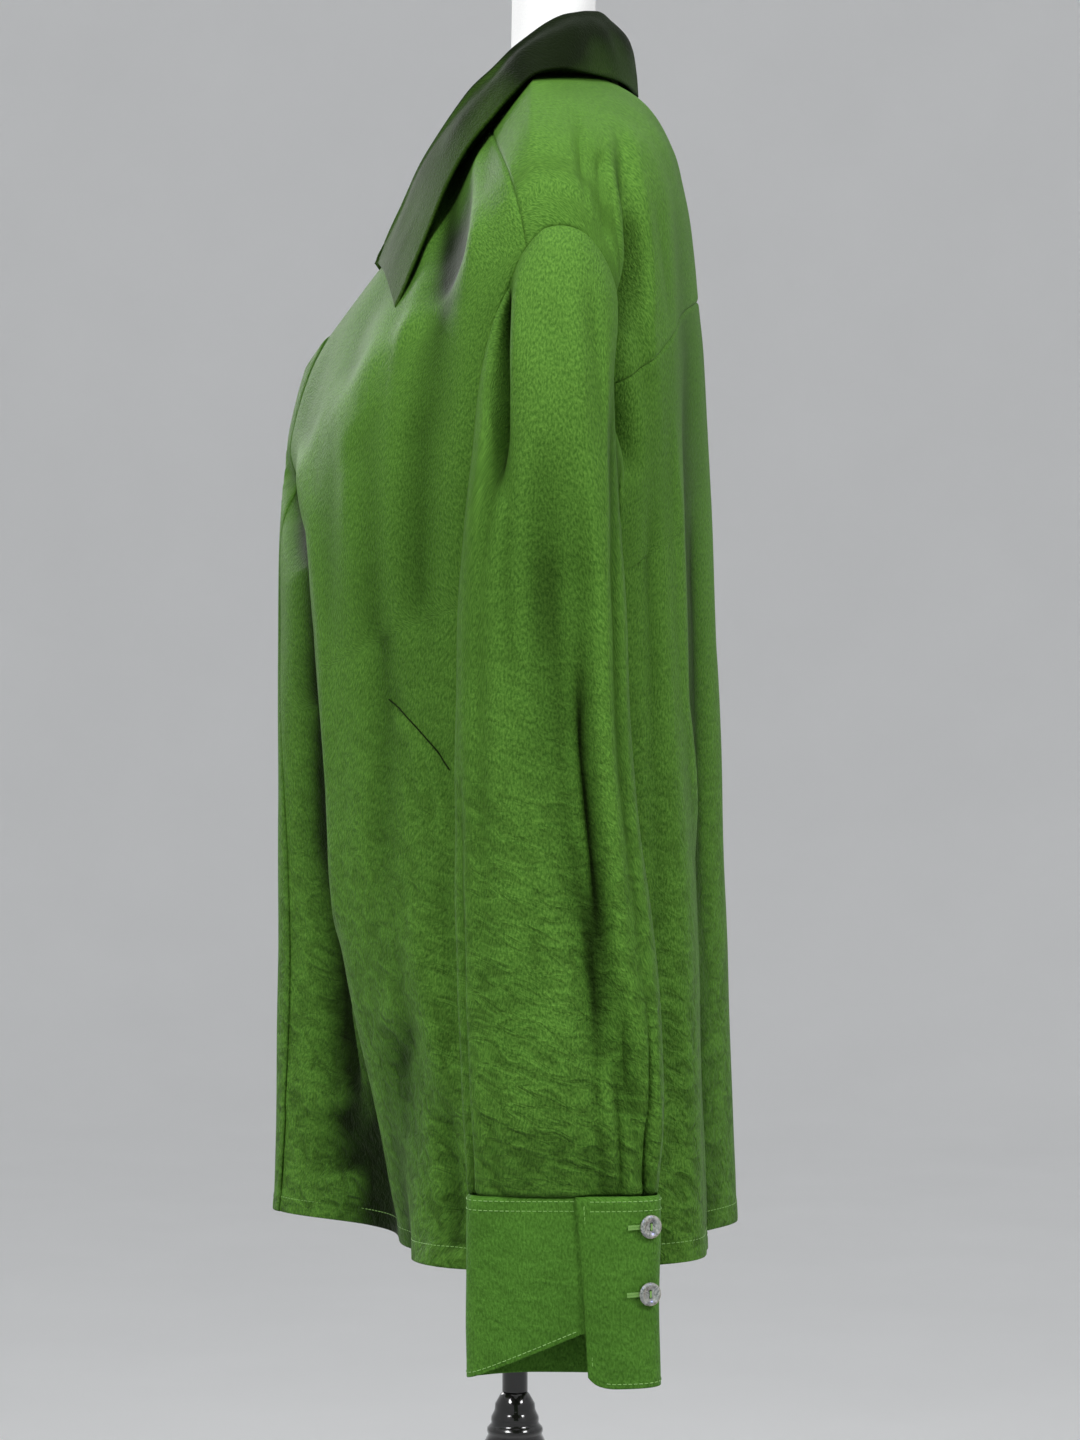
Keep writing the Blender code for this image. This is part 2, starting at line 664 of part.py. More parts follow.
def collar_section(t, side):
    """The collar's inner line at one place, from the neckline over the roll to the edge."""
    neck_angle = read(COLLAR_SHAPE, "neck_angle", t)
    edge = body(0.0, neck_angle)
    down = (body(0.01, neck_angle) - edge).normalized()
    base = edge - down * COLLAR_SEAM * (1 + t)
    roll = Vector([read(COLLAR_SHAPE, f"roll_{axis}", t) for axis in "xyz"])
    fall = Vector([read(COLLAR_SHAPE, f"fall_{axis}", t) for axis in "xyz"])
    width = read(COLLAR_SHAPE, "roll_width", t)
    over = fall - base
    over.z = 0
    over.normalize()
    up = Vector((0, 0, 1))
    drop = min(COLLAR_ROLL_DROP, (roll - base).length / 5)
    bulge = over * COLLAR_FALL_BULGE + up * (COLLAR_FALL_BULGE / 2)
    line = [
        base,
        base.lerp(roll, 0.5) + over * 0.001,
        roll - over * width - up * drop,
        roll,
        roll + over * width - up * drop,
        (roll + over * width).lerp(fall, 0.35) + bulge,
        (roll + over * width).lerp(fall, 0.7) + bulge * 0.7,
        fall,
    ]
    return [mirrored(p, side) for p in line]


def grid_normals(grid):
    normals = []
    for r, row in enumerate(grid):
        normals.append([])
        for c in range(len(row)):
            left, right = row[max(c - 1, 0)], row[min(c + 1, len(row) - 1)]
            above, below = grid[max(r - 1, 0)][c], grid[min(r + 1, len(grid) - 1)][c]
            normals[-1].append((right - left).cross(below - above).normalized())
    return normals


def make_collar(material):
    steps = [k / COLLAR_STEPS for k in range(COLLAR_STEPS + 1)]
    columns = [collar_section(t, -1) for t in reversed(steps[1:])]
    columns += [collar_section(t, 1) for t in steps]
    grid = [[column[r] for column in columns] for r in range(len(columns[0]))]
    normals = grid_normals(grid)
    outer = [
        [p + n * CLOTH for p, n in zip(row, normal_row)]
        for row, normal_row in zip(grid, normals)
    ]
    wall("collar", grid, outer, material)


# Dress form and stand.


def lofted(name, rings, material):
    """A closed solid over rings of points, from the top down, with flat ends."""
    shape = bmesh.new()
    lines = [[shape.verts.new(p) for p in ring] for ring in rings]
    sides = len(rings[0])
    for upper, lower in zip(lines, lines[1:]):
        for k in range(sides):
            j = (k + 1) % sides
            shape.faces.new((upper[k], upper[j], lower[j], lower[k]))
    shape.faces.new(lines[0])
    shape.faces.new(reversed(lines[-1]))
    return finish_object(name, shape, material)


def make_form(material):
    rings = []
    for row in reversed(FORM_RINGS):
        middle_y = read(FORM_RINGS, "back_y", row["height"]) + row["front_y"]
        ring = []
        for k in range(FORM_SIDES):
            turn = math.radians(360 * k / FORM_SIDES)
            half_y = (row["back_y"] - row["front_y"]) / 2
            ring.append(
                Vector(
                    (
                        row["half_x"] * math.cos(turn),
                        middle_y / 2 + half_y * math.sin(turn),
                        row["height"],
                    )
                )
            )
        rings.append(ring)
    lofted("dress_form", rings, material)


def turned(name, profile, material):
    """A solid of revolution about the pole's axis, with flat ends."""
    rings = []
    for radius, height in profile:
        ring = []
        for k in range(TURNED_SIDES):
            turn = 2 * math.pi * k / TURNED_SIDES
            ring.append(Vector((radius * math.cos(turn), radius * math.sin(turn), height)))
        rings.append(ring)
    lofted(name, rings, material)


def make_stand(black):
    pole_top = FORM_BOTTOM - SEAM_GAP
    pole = ((POLE_RADIUS, pole_top), (POLE_RADIUS, POLE_TOP_OF_KNOB + SEAM_GAP))
    turned("pole", pole, black)
    turned("stand_knob", KNOB_PROFILE, black)
    turned("stand_column", COLUMN_PROFILE, black)
    turned("stand_base", BASE_PROFILE, black)


def principled(name, colour, roughness, metallic=0.0):
    material = bpy.data.materials.new(name)
    material.use_nodes = True
    shader = material.node_tree.nodes["Principled BSDF"]
    shader.inputs["Base Color"].default_value = (*colour, 1)
    shader.inputs["Roughness"].default_value = roughness
    shader.inputs["Metallic"].default_value = metallic
    material.diffuse_color = (*colour, 1)
    return material


def main():
    clear_scene()
    names = (
        ["front_left", "front_right", "back", "yoke", "collar"]
        + ["sleeve_left", "sleeve_right", "cuff_left", "cuff_right"]
    )
    green = {name: principled(f"{name}_satin", (0.075, 0.185, 0.035), 0.42) for name in names}
    shell = principled("shell_button", (0.33, 0.35, 0.30), 0.25)
    white = principled("form_jersey", (0.78, 0.78, 0.78), 0.80)
    black = principled("stand_black_lacquer", (0.008, 0.008, 0.008), 0.25)
    make_front("front_left", 1, green["front_left"])
    make_front("front_right", -1, green["front_right"])
    make_back(green["back"])
    make_yoke(green["yoke"])
    make_collar(green["collar"])
    for hand, side in (("left", 1), ("right", -1)):
        make_sleeve(f"sleeve_{hand}", side, green[f"sleeve_{hand}"])
        make_cuff(f"cuff_{hand}", side, green[f"cuff_{hand}"])
        for number, (turn, height) in enumerate(BUTTON_PLACES, 1):
            make_cuff_button(f"cuff_button_{hand}_{number}", side, turn, height, shell)
    make_form(white)
    make_stand(black)


main()
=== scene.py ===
import math

import bmesh
import bpy
import numpy as np
from mathutils import Matrix, Vector, noise


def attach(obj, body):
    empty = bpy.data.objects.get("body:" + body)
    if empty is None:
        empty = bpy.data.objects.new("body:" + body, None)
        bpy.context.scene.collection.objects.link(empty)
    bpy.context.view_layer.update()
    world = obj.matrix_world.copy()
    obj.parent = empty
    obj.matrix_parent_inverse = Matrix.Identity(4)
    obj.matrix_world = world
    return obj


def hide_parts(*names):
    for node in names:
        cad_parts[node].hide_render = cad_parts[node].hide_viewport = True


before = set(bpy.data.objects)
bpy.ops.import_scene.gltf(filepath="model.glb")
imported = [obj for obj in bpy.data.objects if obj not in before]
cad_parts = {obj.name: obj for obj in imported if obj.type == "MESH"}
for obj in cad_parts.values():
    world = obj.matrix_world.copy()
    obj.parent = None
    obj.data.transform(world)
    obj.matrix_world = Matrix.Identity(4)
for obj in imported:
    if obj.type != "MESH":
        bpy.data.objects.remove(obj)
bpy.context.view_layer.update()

# The stand: beech, turned on a lathe and finished in black gloss lacquer. A smooth pole slides
# into a turned knob, which closes the column, and the column stands on a heavy turned base.

SPIN_STEPS = 72
POLE_LINE = ((0.0, 0.7347), (0.0076, 0.7347), (0.0076, 0.5808), (0.0, 0.5808))
KNOB_LINE = (
    (0.0, 0.5805), (0.0072, 0.5805), (0.0086, 0.5790), (0.0118, 0.5735), (0.0121, 0.5700),
    (0.0128, 0.5682), (0.0140, 0.5660), (0.0143, 0.5640), (0.0140, 0.5622), (0.0150, 0.5608),
    (0.0164, 0.5592), (0.0167, 0.5578), (0.0164, 0.5563), (0.0160, 0.5552), (0.0190, 0.5490),
    (0.0215, 0.5400), (0.0219, 0.5320), (0.0205, 0.5230), (0.0170, 0.5110), (0.0140, 0.5020),
    (0.0148, 0.4975), (0.0165, 0.4930), (0.0168, 0.4900), (0.0160, 0.4850), (0.0150, 0.4702),
    (0.0, 0.4702),
)
COLUMN_LINE = (
    (0.0, 0.4696), (0.0150, 0.4696), (0.0172, 0.4665), (0.0178, 0.4630), (0.0172, 0.4595),
    (0.0146, 0.4550), (0.0138, 0.4450), (0.0136, 0.4200), (0.0148, 0.3400), (0.0164, 0.2600),
    (0.0172, 0.2000), (0.0168, 0.1550), (0.0152, 0.1150), (0.0172, 0.1105), (0.0188, 0.1070),
    (0.0192, 0.1035), (0.0188, 0.0990), (0.0162, 0.0930), (0.0190, 0.0860), (0.0238, 0.0785),
    (0.0250, 0.0700), (0.0250, 0.0642), (0.0, 0.0642),
)
BASE_LINE = (
    (0.0, 0.0636), (0.0415, 0.0636), (0.0430, 0.0615), (0.0440, 0.0560), (0.0520, 0.0470),
    (0.0650, 0.0400), (0.0850, 0.0335), (0.1050, 0.0290), (0.1240, 0.0262), (0.1350, 0.0240),
    (0.1420, 0.0215), (0.1470, 0.0180), (0.1496, 0.0130), (0.1500, 0.0080), (0.1497, 0.0030),
    (0.1488, 0.0), (0.0, 0.0),
)


def colour(hex_text):
    """Linear colour of an sRGB hex value."""
    parts = [int(hex_text[k : k + 2], 16) / 255 for k in (1, 3, 5)]
    return [p / 12.92 if p <= 0.04045 else ((p + 0.055) / 1.055) ** 2.4 for p in parts] + [1.0]


def add_node(tree, kind, links=None, **settings):
    """A node with its settings; links maps an input to a value or to another node's output."""
    new = tree.nodes.new(kind)
    for key, value in settings.items():
        setattr(new, key, value)
    for socket, source in (links or {}).items():
        if isinstance(source, bpy.types.NodeSocket):
            tree.links.new(source, new.inputs[socket])
        else:
            new.inputs[socket].default_value = source
    return new


def new_material(name, sockets):
    """A material whose shader has these values on its own sockets."""
    material = bpy.data.materials.new(name)
    material.use_nodes = True
    tree = material.node_tree
    shader = tree.nodes["Principled BSDF"]
    for socket, value in sockets.items():
        shader.inputs[socket].default_value = value
    return material, tree, shader


def mixed(tree, factor, first, second, blend="MIX"):
    """The colour output of a mix of two colours."""
    links = {0: factor, 6: first, 7: second}
    return add_node(tree, "ShaderNodeMix", links, data_type="RGBA", blend_type=blend).outputs[2]


def cloudy(tree, vector, size, detail, **more):
    """The output of a noise whose features have about this size in metres."""
    links = {"Vector": vector, "Scale": 1 / size, "Detail": detail} | more
    return add_node(tree, "ShaderNodeTexNoise", links).outputs["Fac"]


def bumped(tree, height, strength, distance, under=None):
    """The normal output of a bump, laid over an earlier one where that is given."""
    links = {"Height": height, "Strength": strength, "Distance": distance}
    if under is not None:
        links["Normal"] = under
    return add_node(tree, "ShaderNodeBump", links).outputs[0]


def place_piece(name, shape, material, replaced=(), sharp=40):
    """A finished piece on the one body of the model."""
    mesh = bpy.data.meshes.new(name)
    shape.to_mesh(mesh)
    shape.free()
    mesh.shade_smooth()
    if sharp:
        mesh.set_sharp_from_angle(angle=math.radians(sharp))
    mesh.materials.append(material)
    piece = bpy.data.objects.new(name, mesh)
    bpy.context.scene.collection.objects.link(piece)
    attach(piece, "root")
    if replaced:
        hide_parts(*replaced)
    return piece


def spun(line, steps, closer=1e-6):
    """A line of radii and heights spun once round the upright axis."""
    shape = bmesh.new()
    points = [shape.verts.new((radius, 0.0, height)) for radius, height in line]
    edges = [shape.edges.new(pair) for pair in zip(points, points[1:])]
    bmesh.ops.spin(
        shape,
        geom=points + edges,
        axis=(0, 0, 1),
        cent=(0, 0, 0),
        angle=math.tau,
        steps=steps,
        use_merge=True,
    )
    bmesh.ops.remove_doubles(shape, verts=shape.verts, dist=closer)
    bmesh.ops.recalc_face_normals(shape, faces=shape.faces)
    return shape


# Gloss lacquer on beech: near black, wet-looking, with the grain just raised under the film and
# a few duller, dustier patches.
GRAIN_WIDTH, GRAIN_STRETCH, DUST_PATCH = 0.0012, 0.06, 0.022
black_lacquer, tree, shader = new_material(
    "black_gloss_lacquer_on_beech", {"Roughness": 0.16, "IOR": 1.5, "Coat Weight": 0.6}
)
place = add_node(tree, "ShaderNodeTexCoord").outputs["Object"]
along_grain = add_node(
    tree, "ShaderNodeMapping", {"Vector": place, "Scale": (1.0, 1.0, GRAIN_STRETCH)}
)
grain = cloudy(tree, along_grain.outputs[0], GRAIN_WIDTH, 3.0)
dust = cloudy(tree, place, DUST_PATCH, 4.0)
dusty = add_node(
    tree,
    "ShaderNodeMapRange",
    {"Value": dust, "From Min": 0.45, "From Max": 0.75, "To Min": 0.13, "To Max": 0.30},
)
tree.links.new(
    mixed(tree, dust, colour("#0B0B0C"), colour("#1B1A19")), shader.inputs["Base Color"]
)
tree.links.new(dusty.outputs[0], shader.inputs["Roughness"])
tree.links.new(bumped(tree, grain, 0.10, 0.0002), shader.inputs["Normal"])

for name, line, replaced in (
    ("pole_lacquered", POLE_LINE, "pole"),
    ("knob_lacquered", KNOB_LINE, "stand_knob"),
    ("column_lacquered", COLUMN_LINE, "stand_column"),
    ("base_lacquered", BASE_LINE, "stand_base"),
):
    turned = spun(line, SPIN_STEPS)
    place_piece(name, turned, black_lacquer, [replaced], sharp=50)


# The dress form: a limbless torso of padded card under white cotton jersey, which is pulled
# tight and sewn closed over the slim neck. The blouse hangs on its shoulders.

FORM_COLUMNS, FORM_ROWS = 96, 130

def table(columns, *rows):
    """Rows of numbers under named columns, as one array for each column."""
    return dict(zip(columns.split(), np.array(rows, dtype=float).T))


def curve_between(t, span, start, end, start_slope, end_slope):
    """A smooth curve between two values with given slopes, at a share t of the span."""
    return (
        (2 * t**3 - 3 * t**2 + 1) * start
        + (t**3 - 2 * t**2 + t) * span * start_slope
        + (3 * t**2 - 2 * t**3) * end
        + (t**3 - t**2) * span * end_slope
    )


def read(rows, column, at):
    """A column's values on a smooth curve through the rows; the first column is the place."""
    places, values = next(iter(rows.values())), rows[column]
    at = np.clip(np.asarray(at, dtype=float), places[0], places[-1])
    low, high = np.r_[0, np.arange(len(places) - 1)], np.r_[np.arange(1, len(places)), -1]
    slopes = (values[high] - values[low]) / (places[high] - places[low])
    i = np.clip(np.searchsorted(places, at, side="right") - 1, 0, len(places) - 2)
    span = places[i + 1] - places[i]
    t = (at - places[i]) / span
    return curve_between(t, span, values[i], values[i + 1], slopes[i], slopes[i + 1])


def smooth_step(value):
    value = np.clip(value, 0.0, 1.0)
    return value * value * (3 - 2 * value)


def signed_power(value, power):
    return np.sign(value) * np.abs(value) ** power


def turn_difference(a, b):
    return (a - b + 180) % 360 - 180


def bump(distance, half_width):
    """A soft rise of 1 that ends at the half width."""
    return 0.5 + 0.5 * np.cos(np.pi * np.clip(np.abs(distance) / half_width, 0, 1))


def unit(vectors):
    return vectors / np.maximum(np.linalg.norm(vectors, axis=-1, keepdims=True), 1e-12)


FORM_RINGS = table(
    "height half_x front_y back_y",
    (0.735, 0.1250, -0.0480, 0.0800),
    (0.760, 0.1350, -0.0540, 0.0880),
    (0.830, 0.1420, -0.0690, 0.0920),
    (0.930, 0.1380, -0.0860, 0.0780),
    (0.990, 0.1260, -0.0830, 0.0700),
    (1.060, 0.1360, -0.1000, 0.0740),
    (1.130, 0.1500, -0.1180, 0.0820),
    (1.180, 0.1540, -0.1040, 0.0860),
    (1.230, 0.1620, -0.0740, 0.0860),
    (1.270, 0.1690, -0.0420, 0.0820),
    (1.293, 0.1710, -0.0260, 0.0750),
    (1.306, 0.1640, -0.0180, 0.0700),
    (1.319, 0.1440, -0.0100, 0.0630),
    (1.333, 0.1140, 0.0012, 0.0560),
    (1.345, 0.0700, 0.0045, 0.0500),
    (1.360, 0.0370, -0.0030, 0.0490),
    (1.380, 0.0283, -0.0023, 0.0483),
    (1.405, 0.0260, -0.0018, 0.0480),
    (1.426, 0.0258, -0.0016, 0.0478),
    (1.4300, 0.0235, 0.0005, 0.0457),
    (1.4318, 0.0190, 0.0050, 0.0412),
)


def eased(points, reach, axes=(0,)):
    """Points averaged with their neighbours, which keeps the grid's edges where they are."""
    for axis in axes:
        near = min(reach, points.shape[axis] - 2)
        pad = [(0, 0)] * 3
        pad[axis] = (near + 1, near)
        sums = np.cumsum(np.pad(points, pad, mode="reflect", reflect_type="odd"), axis=axis)
        width = 2 * near + 1
        upper = np.take(sums, np.arange(width, sums.shape[axis]), axis=axis)
        points = (upper - np.take(sums, np.arange(sums.shape[axis] - width), axis=axis)) / width
    return points


# How far round each point the cloth is averaged, in rows of its grid, with that reach's share;
# a point this many metres off the average for each row counts as fully hollow. How hollow a
# point is sets the satin's painted shade in folds and painted highlight on ridges.
HOLLOW_REACHES = ((4, 0.45), (11, 0.75), (24, 0.95))
HOLLOW_FULL = 0.00062


def hollowness(points):
    """How deep each point lies in a fold (over 0) or stands on a ridge (under 0)."""
    out = unit(np.cross(np.gradient(points, axis=0), np.gradient(points, axis=1)))
    total = np.zeros(points.shape[:-1])
    for reach, share in HOLLOW_REACHES:
        depth = np.sum((eased(points, reach, (0, 1)) - points) * out, axis=-1)
        total += share * depth / (HOLLOW_FULL * reach)
    return np.clip(0.5 + total / 2, 0, 1)


def grid_piece(down, over, surface, close_over=False):
    """A grid of places, from its top left, laid on a surface; its map holds metres of cloth."""
    shape = bmesh.new()
    layer = shape.loops.layers.uv.new("cut")
    painted_light_mask = shape.verts.layers.float.new("painted_light_mask")
    bmesh.ops.create_grid(shape, x_segments=len(over) - 1, y_segments=len(down) - 1, size=0.5)
    points = surface(down[:, None] + 0 * over[None, :], over[None, :] + 0 * down[:, None])
    across = np.cumsum(np.linalg.norm(np.diff(points, axis=1), axis=-1), axis=1)
    across = np.pad(across, ((0, 0), (1, 0)))
    across -= across[:, len(over) // 2][:, None]
    if close_over:
        points[:, -1] = points[:, 0]
    lower = np.cumsum(np.linalg.norm(np.diff(points, axis=0), axis=-1), axis=0)
    lower = np.pad(lower, ((1, 0), (0, 0)))
    # Each point's fold depth, kept as the mask of the satin's painted shade in folds and painted
    # highlight on ridges.
    depth = hollowness(points)
    for vertex in shape.verts:
        c = round((vertex.co.x + 0.5) * (len(over) - 1))
        r = round((0.5 - vertex.co.y) * (len(down) - 1))
        vertex.co = points[r, c]
        vertex[painted_light_mask] = depth[r, c]
        vertex.index = r * len(over) + c
    for face in shape.faces:
        for loop in face.loops:
            r, c = divmod(loop.vert.index, len(over))
            loop[layer].uv = (across[r, c], -lower[r, c])
    if close_over:
        ends = [v for v in shape.verts if v.index % len(over) in (0, len(over) - 1)]
        bmesh.ops.remove_doubles(shape, verts=ends, dist=1e-5)
    return shape


def form_surface(down, over):
    foot, top = FORM_RINGS["height"][[0, -1]]
    height = top + (foot - top) * down
    front, back = read(FORM_RINGS, "front_y", height), read(FORM_RINGS, "back_y", height)
    turn = math.tau * over
    x = read(FORM_RINGS, "half_x", height) * np.cos(turn)
    y = (front + back) / 2 + (back - front) / 2 * np.sin(turn)
    return np.stack([x, y, height], axis=-1)


# Cotton jersey: white, matt, with fine vertical knit ribs under 1 mm apart, drawn 1.4 mm apart
# so that they show, and a little fuzz that lightens its edges.
white_jersey, tree, shader = new_material(
    "white_cotton_jersey", {"Roughness": 0.88, "Sheen Weight": 0.25, "Sheen Roughness": 0.5}
)
KNIT_RIB, KNIT_LOOP = 0.0014, 0.0011
cut = add_node(tree, "ShaderNodeUVMap", uv_map="cut")
spread = add_node(
    tree,
    "ShaderNodeMapping",
    {"Vector": cut.outputs[0], "Scale": (1 / KNIT_RIB, 1 / KNIT_LOOP, 1.0)},
)
ribs = add_node(
    tree,
    "ShaderNodeTexWave",
    {"Vector": spread.outputs[0], "Scale": 0.32, "Distortion": 1.2, "Detail": 1.0},
)
fuzz = cloudy(tree, cut.outputs[0], KNIT_LOOP, 2.0)
white = mixed(tree, fuzz, colour("#D6D6D6"), colour("#E6E6E5"))
tree.links.new(white, shader.inputs["Base Color"])
tree.links.new(bumped(tree, ribs.outputs["Fac"], 0.35, 0.0003), shader.inputs["Normal"])

rows, columns = np.linspace(0, 1, FORM_ROWS), np.linspace(1, 0, FORM_COLUMNS)
shape = grid_piece(rows, columns, form_surface, close_over=True)
bmesh.ops.holes_fill(shape, edges=[e for e in shape.edges if e.is_boundary], sides=0)
bmesh.ops.recalc_face_normals(shape, faces=shape.faces)
place_piece("form_jersey", shape, white_jersey, ["dress_form"], sharp=60)


# The body of the blouse: crepe-backed satin, worn with the satin side out. Back, yoke and two
# fronts are cut separately, and sewn with fine closed seams. It hangs from the shoulders.

BODY_RINGS = table(
    "along front_y front_z side_x side_y side_z back_y back_z fall_power front_power",
    (0.00, -0.1220, 1.1900, 0.0720, 0.0120, 1.3510, 0.0590, 1.3540, 1.50, 1.50),
    (0.10, -0.1260, 1.1760, 0.1250, 0.0110, 1.3340, 0.0785, 1.3370, 1.45, 1.45),
    (0.22, -0.1320, 1.1500, 0.1860, 0.0110, 1.3035, 0.0925, 1.3110, 1.50, 1.45),
    (0.30, -0.1350, 1.1280, 0.2170, 0.0130, 1.2770, 0.0975, 1.2920, 1.65, 1.38),
    (0.38, -0.1370, 1.1000, 0.2335, 0.0180, 1.2405, 0.1025, 1.2620, 1.80, 1.20),
    (0.50, -0.1382, 1.0450, 0.2350, 0.0200, 1.1500, 0.1095, 1.1870, 2.00, 1.10),
    (0.62, -0.1385, 0.9850, 0.2110, 0.0200, 1.0450, 0.1155, 1.0750, 2.00, 1.00),
    (0.75, -0.1385, 0.8900, 0.2060, 0.0200, 0.9300, 0.1205, 0.9400, 2.00, 1.00),
    (0.88, -0.1390, 0.7850, 0.2110, 0.0170, 0.8050, 0.1250, 0.8080, 2.00, 1.00),
    (1.00, -0.1410, 0.6900, 0.2200, 0.0120, 0.6860, 0.1295, 0.6900, 2.00, 1.00),
)
BACK_POWER = 0.85
BODY_FOLDS = (
    # top angle, hem angle, half width, start, full, gone, depth, shift on the right
    (19.7, 22.6, 22.0, 0.42, 1.02, 9.0, -0.055, 2.0),
    (33.3, 44.5, 25.5, 0.74, 1.10, 9.0, -0.060, -2.0),
    (90.0, 90.0, 17.0, 0.62, 0.95, 9.0, -0.008, 0.0),
    (118.0, 126.0, 16.0, 0.45, 1.00, 9.0, 0.014, 4.0),
    (146.0, 154.0, 15.0, 0.25, 1.00, 9.0, -0.020, 2.0),
    (56.0, 56.0, 27.0, 0.02, 0.24, 0.50, -0.009, 0.0),
    (62.0, 64.0, 9.0, 0.12, 0.34, 0.75, -0.006, 0.0),
    (47.0, 44.0, 8.0, 0.10, 0.30, 0.70, 0.004, 1.0),
    (104.0, 104.0, 5.0, 0.18, 0.30, 0.42, -0.005, 0.0),
    (120.0, 122.0, 7.0, 0.20, 0.36, 0.62, -0.008, 0.0),
)
BODY_ALONG_SIZE, BODY_DEGREE_SIZE = 0.68, 0.0034


def body_smooth(along, angle):
    """Points of the body's surface without its folds."""
    along, angle = np.broadcast_arrays(np.asarray(along, float), np.asarray(angle, float))
    ring = {name: read(BODY_RINGS, name, along) for name in BODY_RINGS if name != "along"}
    turn = np.radians(angle)
    front = np.cos(turn) >= 0
    power = np.where(front, ring["front_power"], BACK_POWER)
    end_y = np.where(front, ring["front_y"], ring["back_y"])
    end_z = np.where(front, ring["front_z"], ring["back_z"])
    share = np.abs(np.cos(turn))
    x = ring["side_x"] * signed_power(np.sin(turn), power)
    y = ring["side_y"] + (end_y - ring["side_y"]) * share**power
    z = ring["side_z"] + (end_z - ring["side_z"]) * share ** ring["fall_power"]
    return np.stack([x, y, z], axis=-1)


def away(surface, along, angle, step=0.004):
    """Unit normals of a surface, pointing away from the wearer."""
    lower, upper = np.minimum(along + step, 1.0), np.maximum(along - step, 0.0)
    down = surface(lower, angle) - surface(upper, angle)
    return unit(np.cross(down, surface(along, angle + 1.0) - surface(along, angle - 1.0)))


def creases_on(surface, downs, turns, down_size, turn_size, creases):
    """Creases with their places on a surface in metres, found from the photo's pixels."""
    down, turn = np.meshgrid(downs, turns, indexing="ij")
    points = surface(down, turn)
    scale = PIXELS_PER_RADIAN / (CAMERA_DISTANCE - points[..., 0])
    column = PICTURE_WIDTH / 2 + scale * (points[..., 1] - CAMERA_SIDE)
    row = PICTURE_HEIGHT / 2 - scale * (points[..., 2] - CAMERA_HEIGHT)
    found = []
    for pixels, half_width, height, sharpness in creases:
        nearest = [np.argmin(np.hypot(column - x, row - y)) for x, y in pixels]
        line = [(down.flat[n] * down_size, turn.flat[n] * turn_size) for n in nearest]
        found.append((line, half_width / 1000, height / 1000, sharpness))
    return found


def crease_depth(along, across_it, creases):
    """How far the cloth stands out for creases that run through places, given in metres."""
    total = np.zeros(np.shape(along))
    for points, half_width, depth, sharpness in creases:
        line = np.array(points, dtype=float)
        steps = np.diff(line, axis=0)
        lengths = np.hypot(steps[:, 0], steps[:, 1])
        ends = np.cumsum(lengths) / lengths.sum()
        nearest = np.full(np.shape(along), 1e9)
        share = np.zeros(np.shape(along))
        for k, (start, step, length) in enumerate(zip(line, steps, lengths)):
            t = ((along - start[0]) * step[0] + (across_it - start[1]) * step[1]) / length**2
            t = np.clip(t, 0, 1)
            reach = np.hypot(along - start[0] - t * step[0], across_it - start[1] - t * step[1])
            closer = reach < nearest
            nearest = np.where(closer, reach, nearest)
            share = np.where(closer, ends[k] - (1 - t) * length / lengths.sum(), share)
        fade = smooth_step(np.minimum(share, 1 - share) / 0.22 + 0.12)
        total += depth * fade * np.exp(-((nearest / half_width) ** sharpness))
    return total


# The camera of the photo: level, on the wearer's left, with its focal length in pixels.
CAMERA_DISTANCE, CAMERA_SIDE, CAMERA_HEIGHT = 2.1, 0.0149, 0.98
PIXELS_PER_RADIAN, PICTURE_WIDTH, PICTURE_HEIGHT = 3528.0, 1080.0, 1440.0
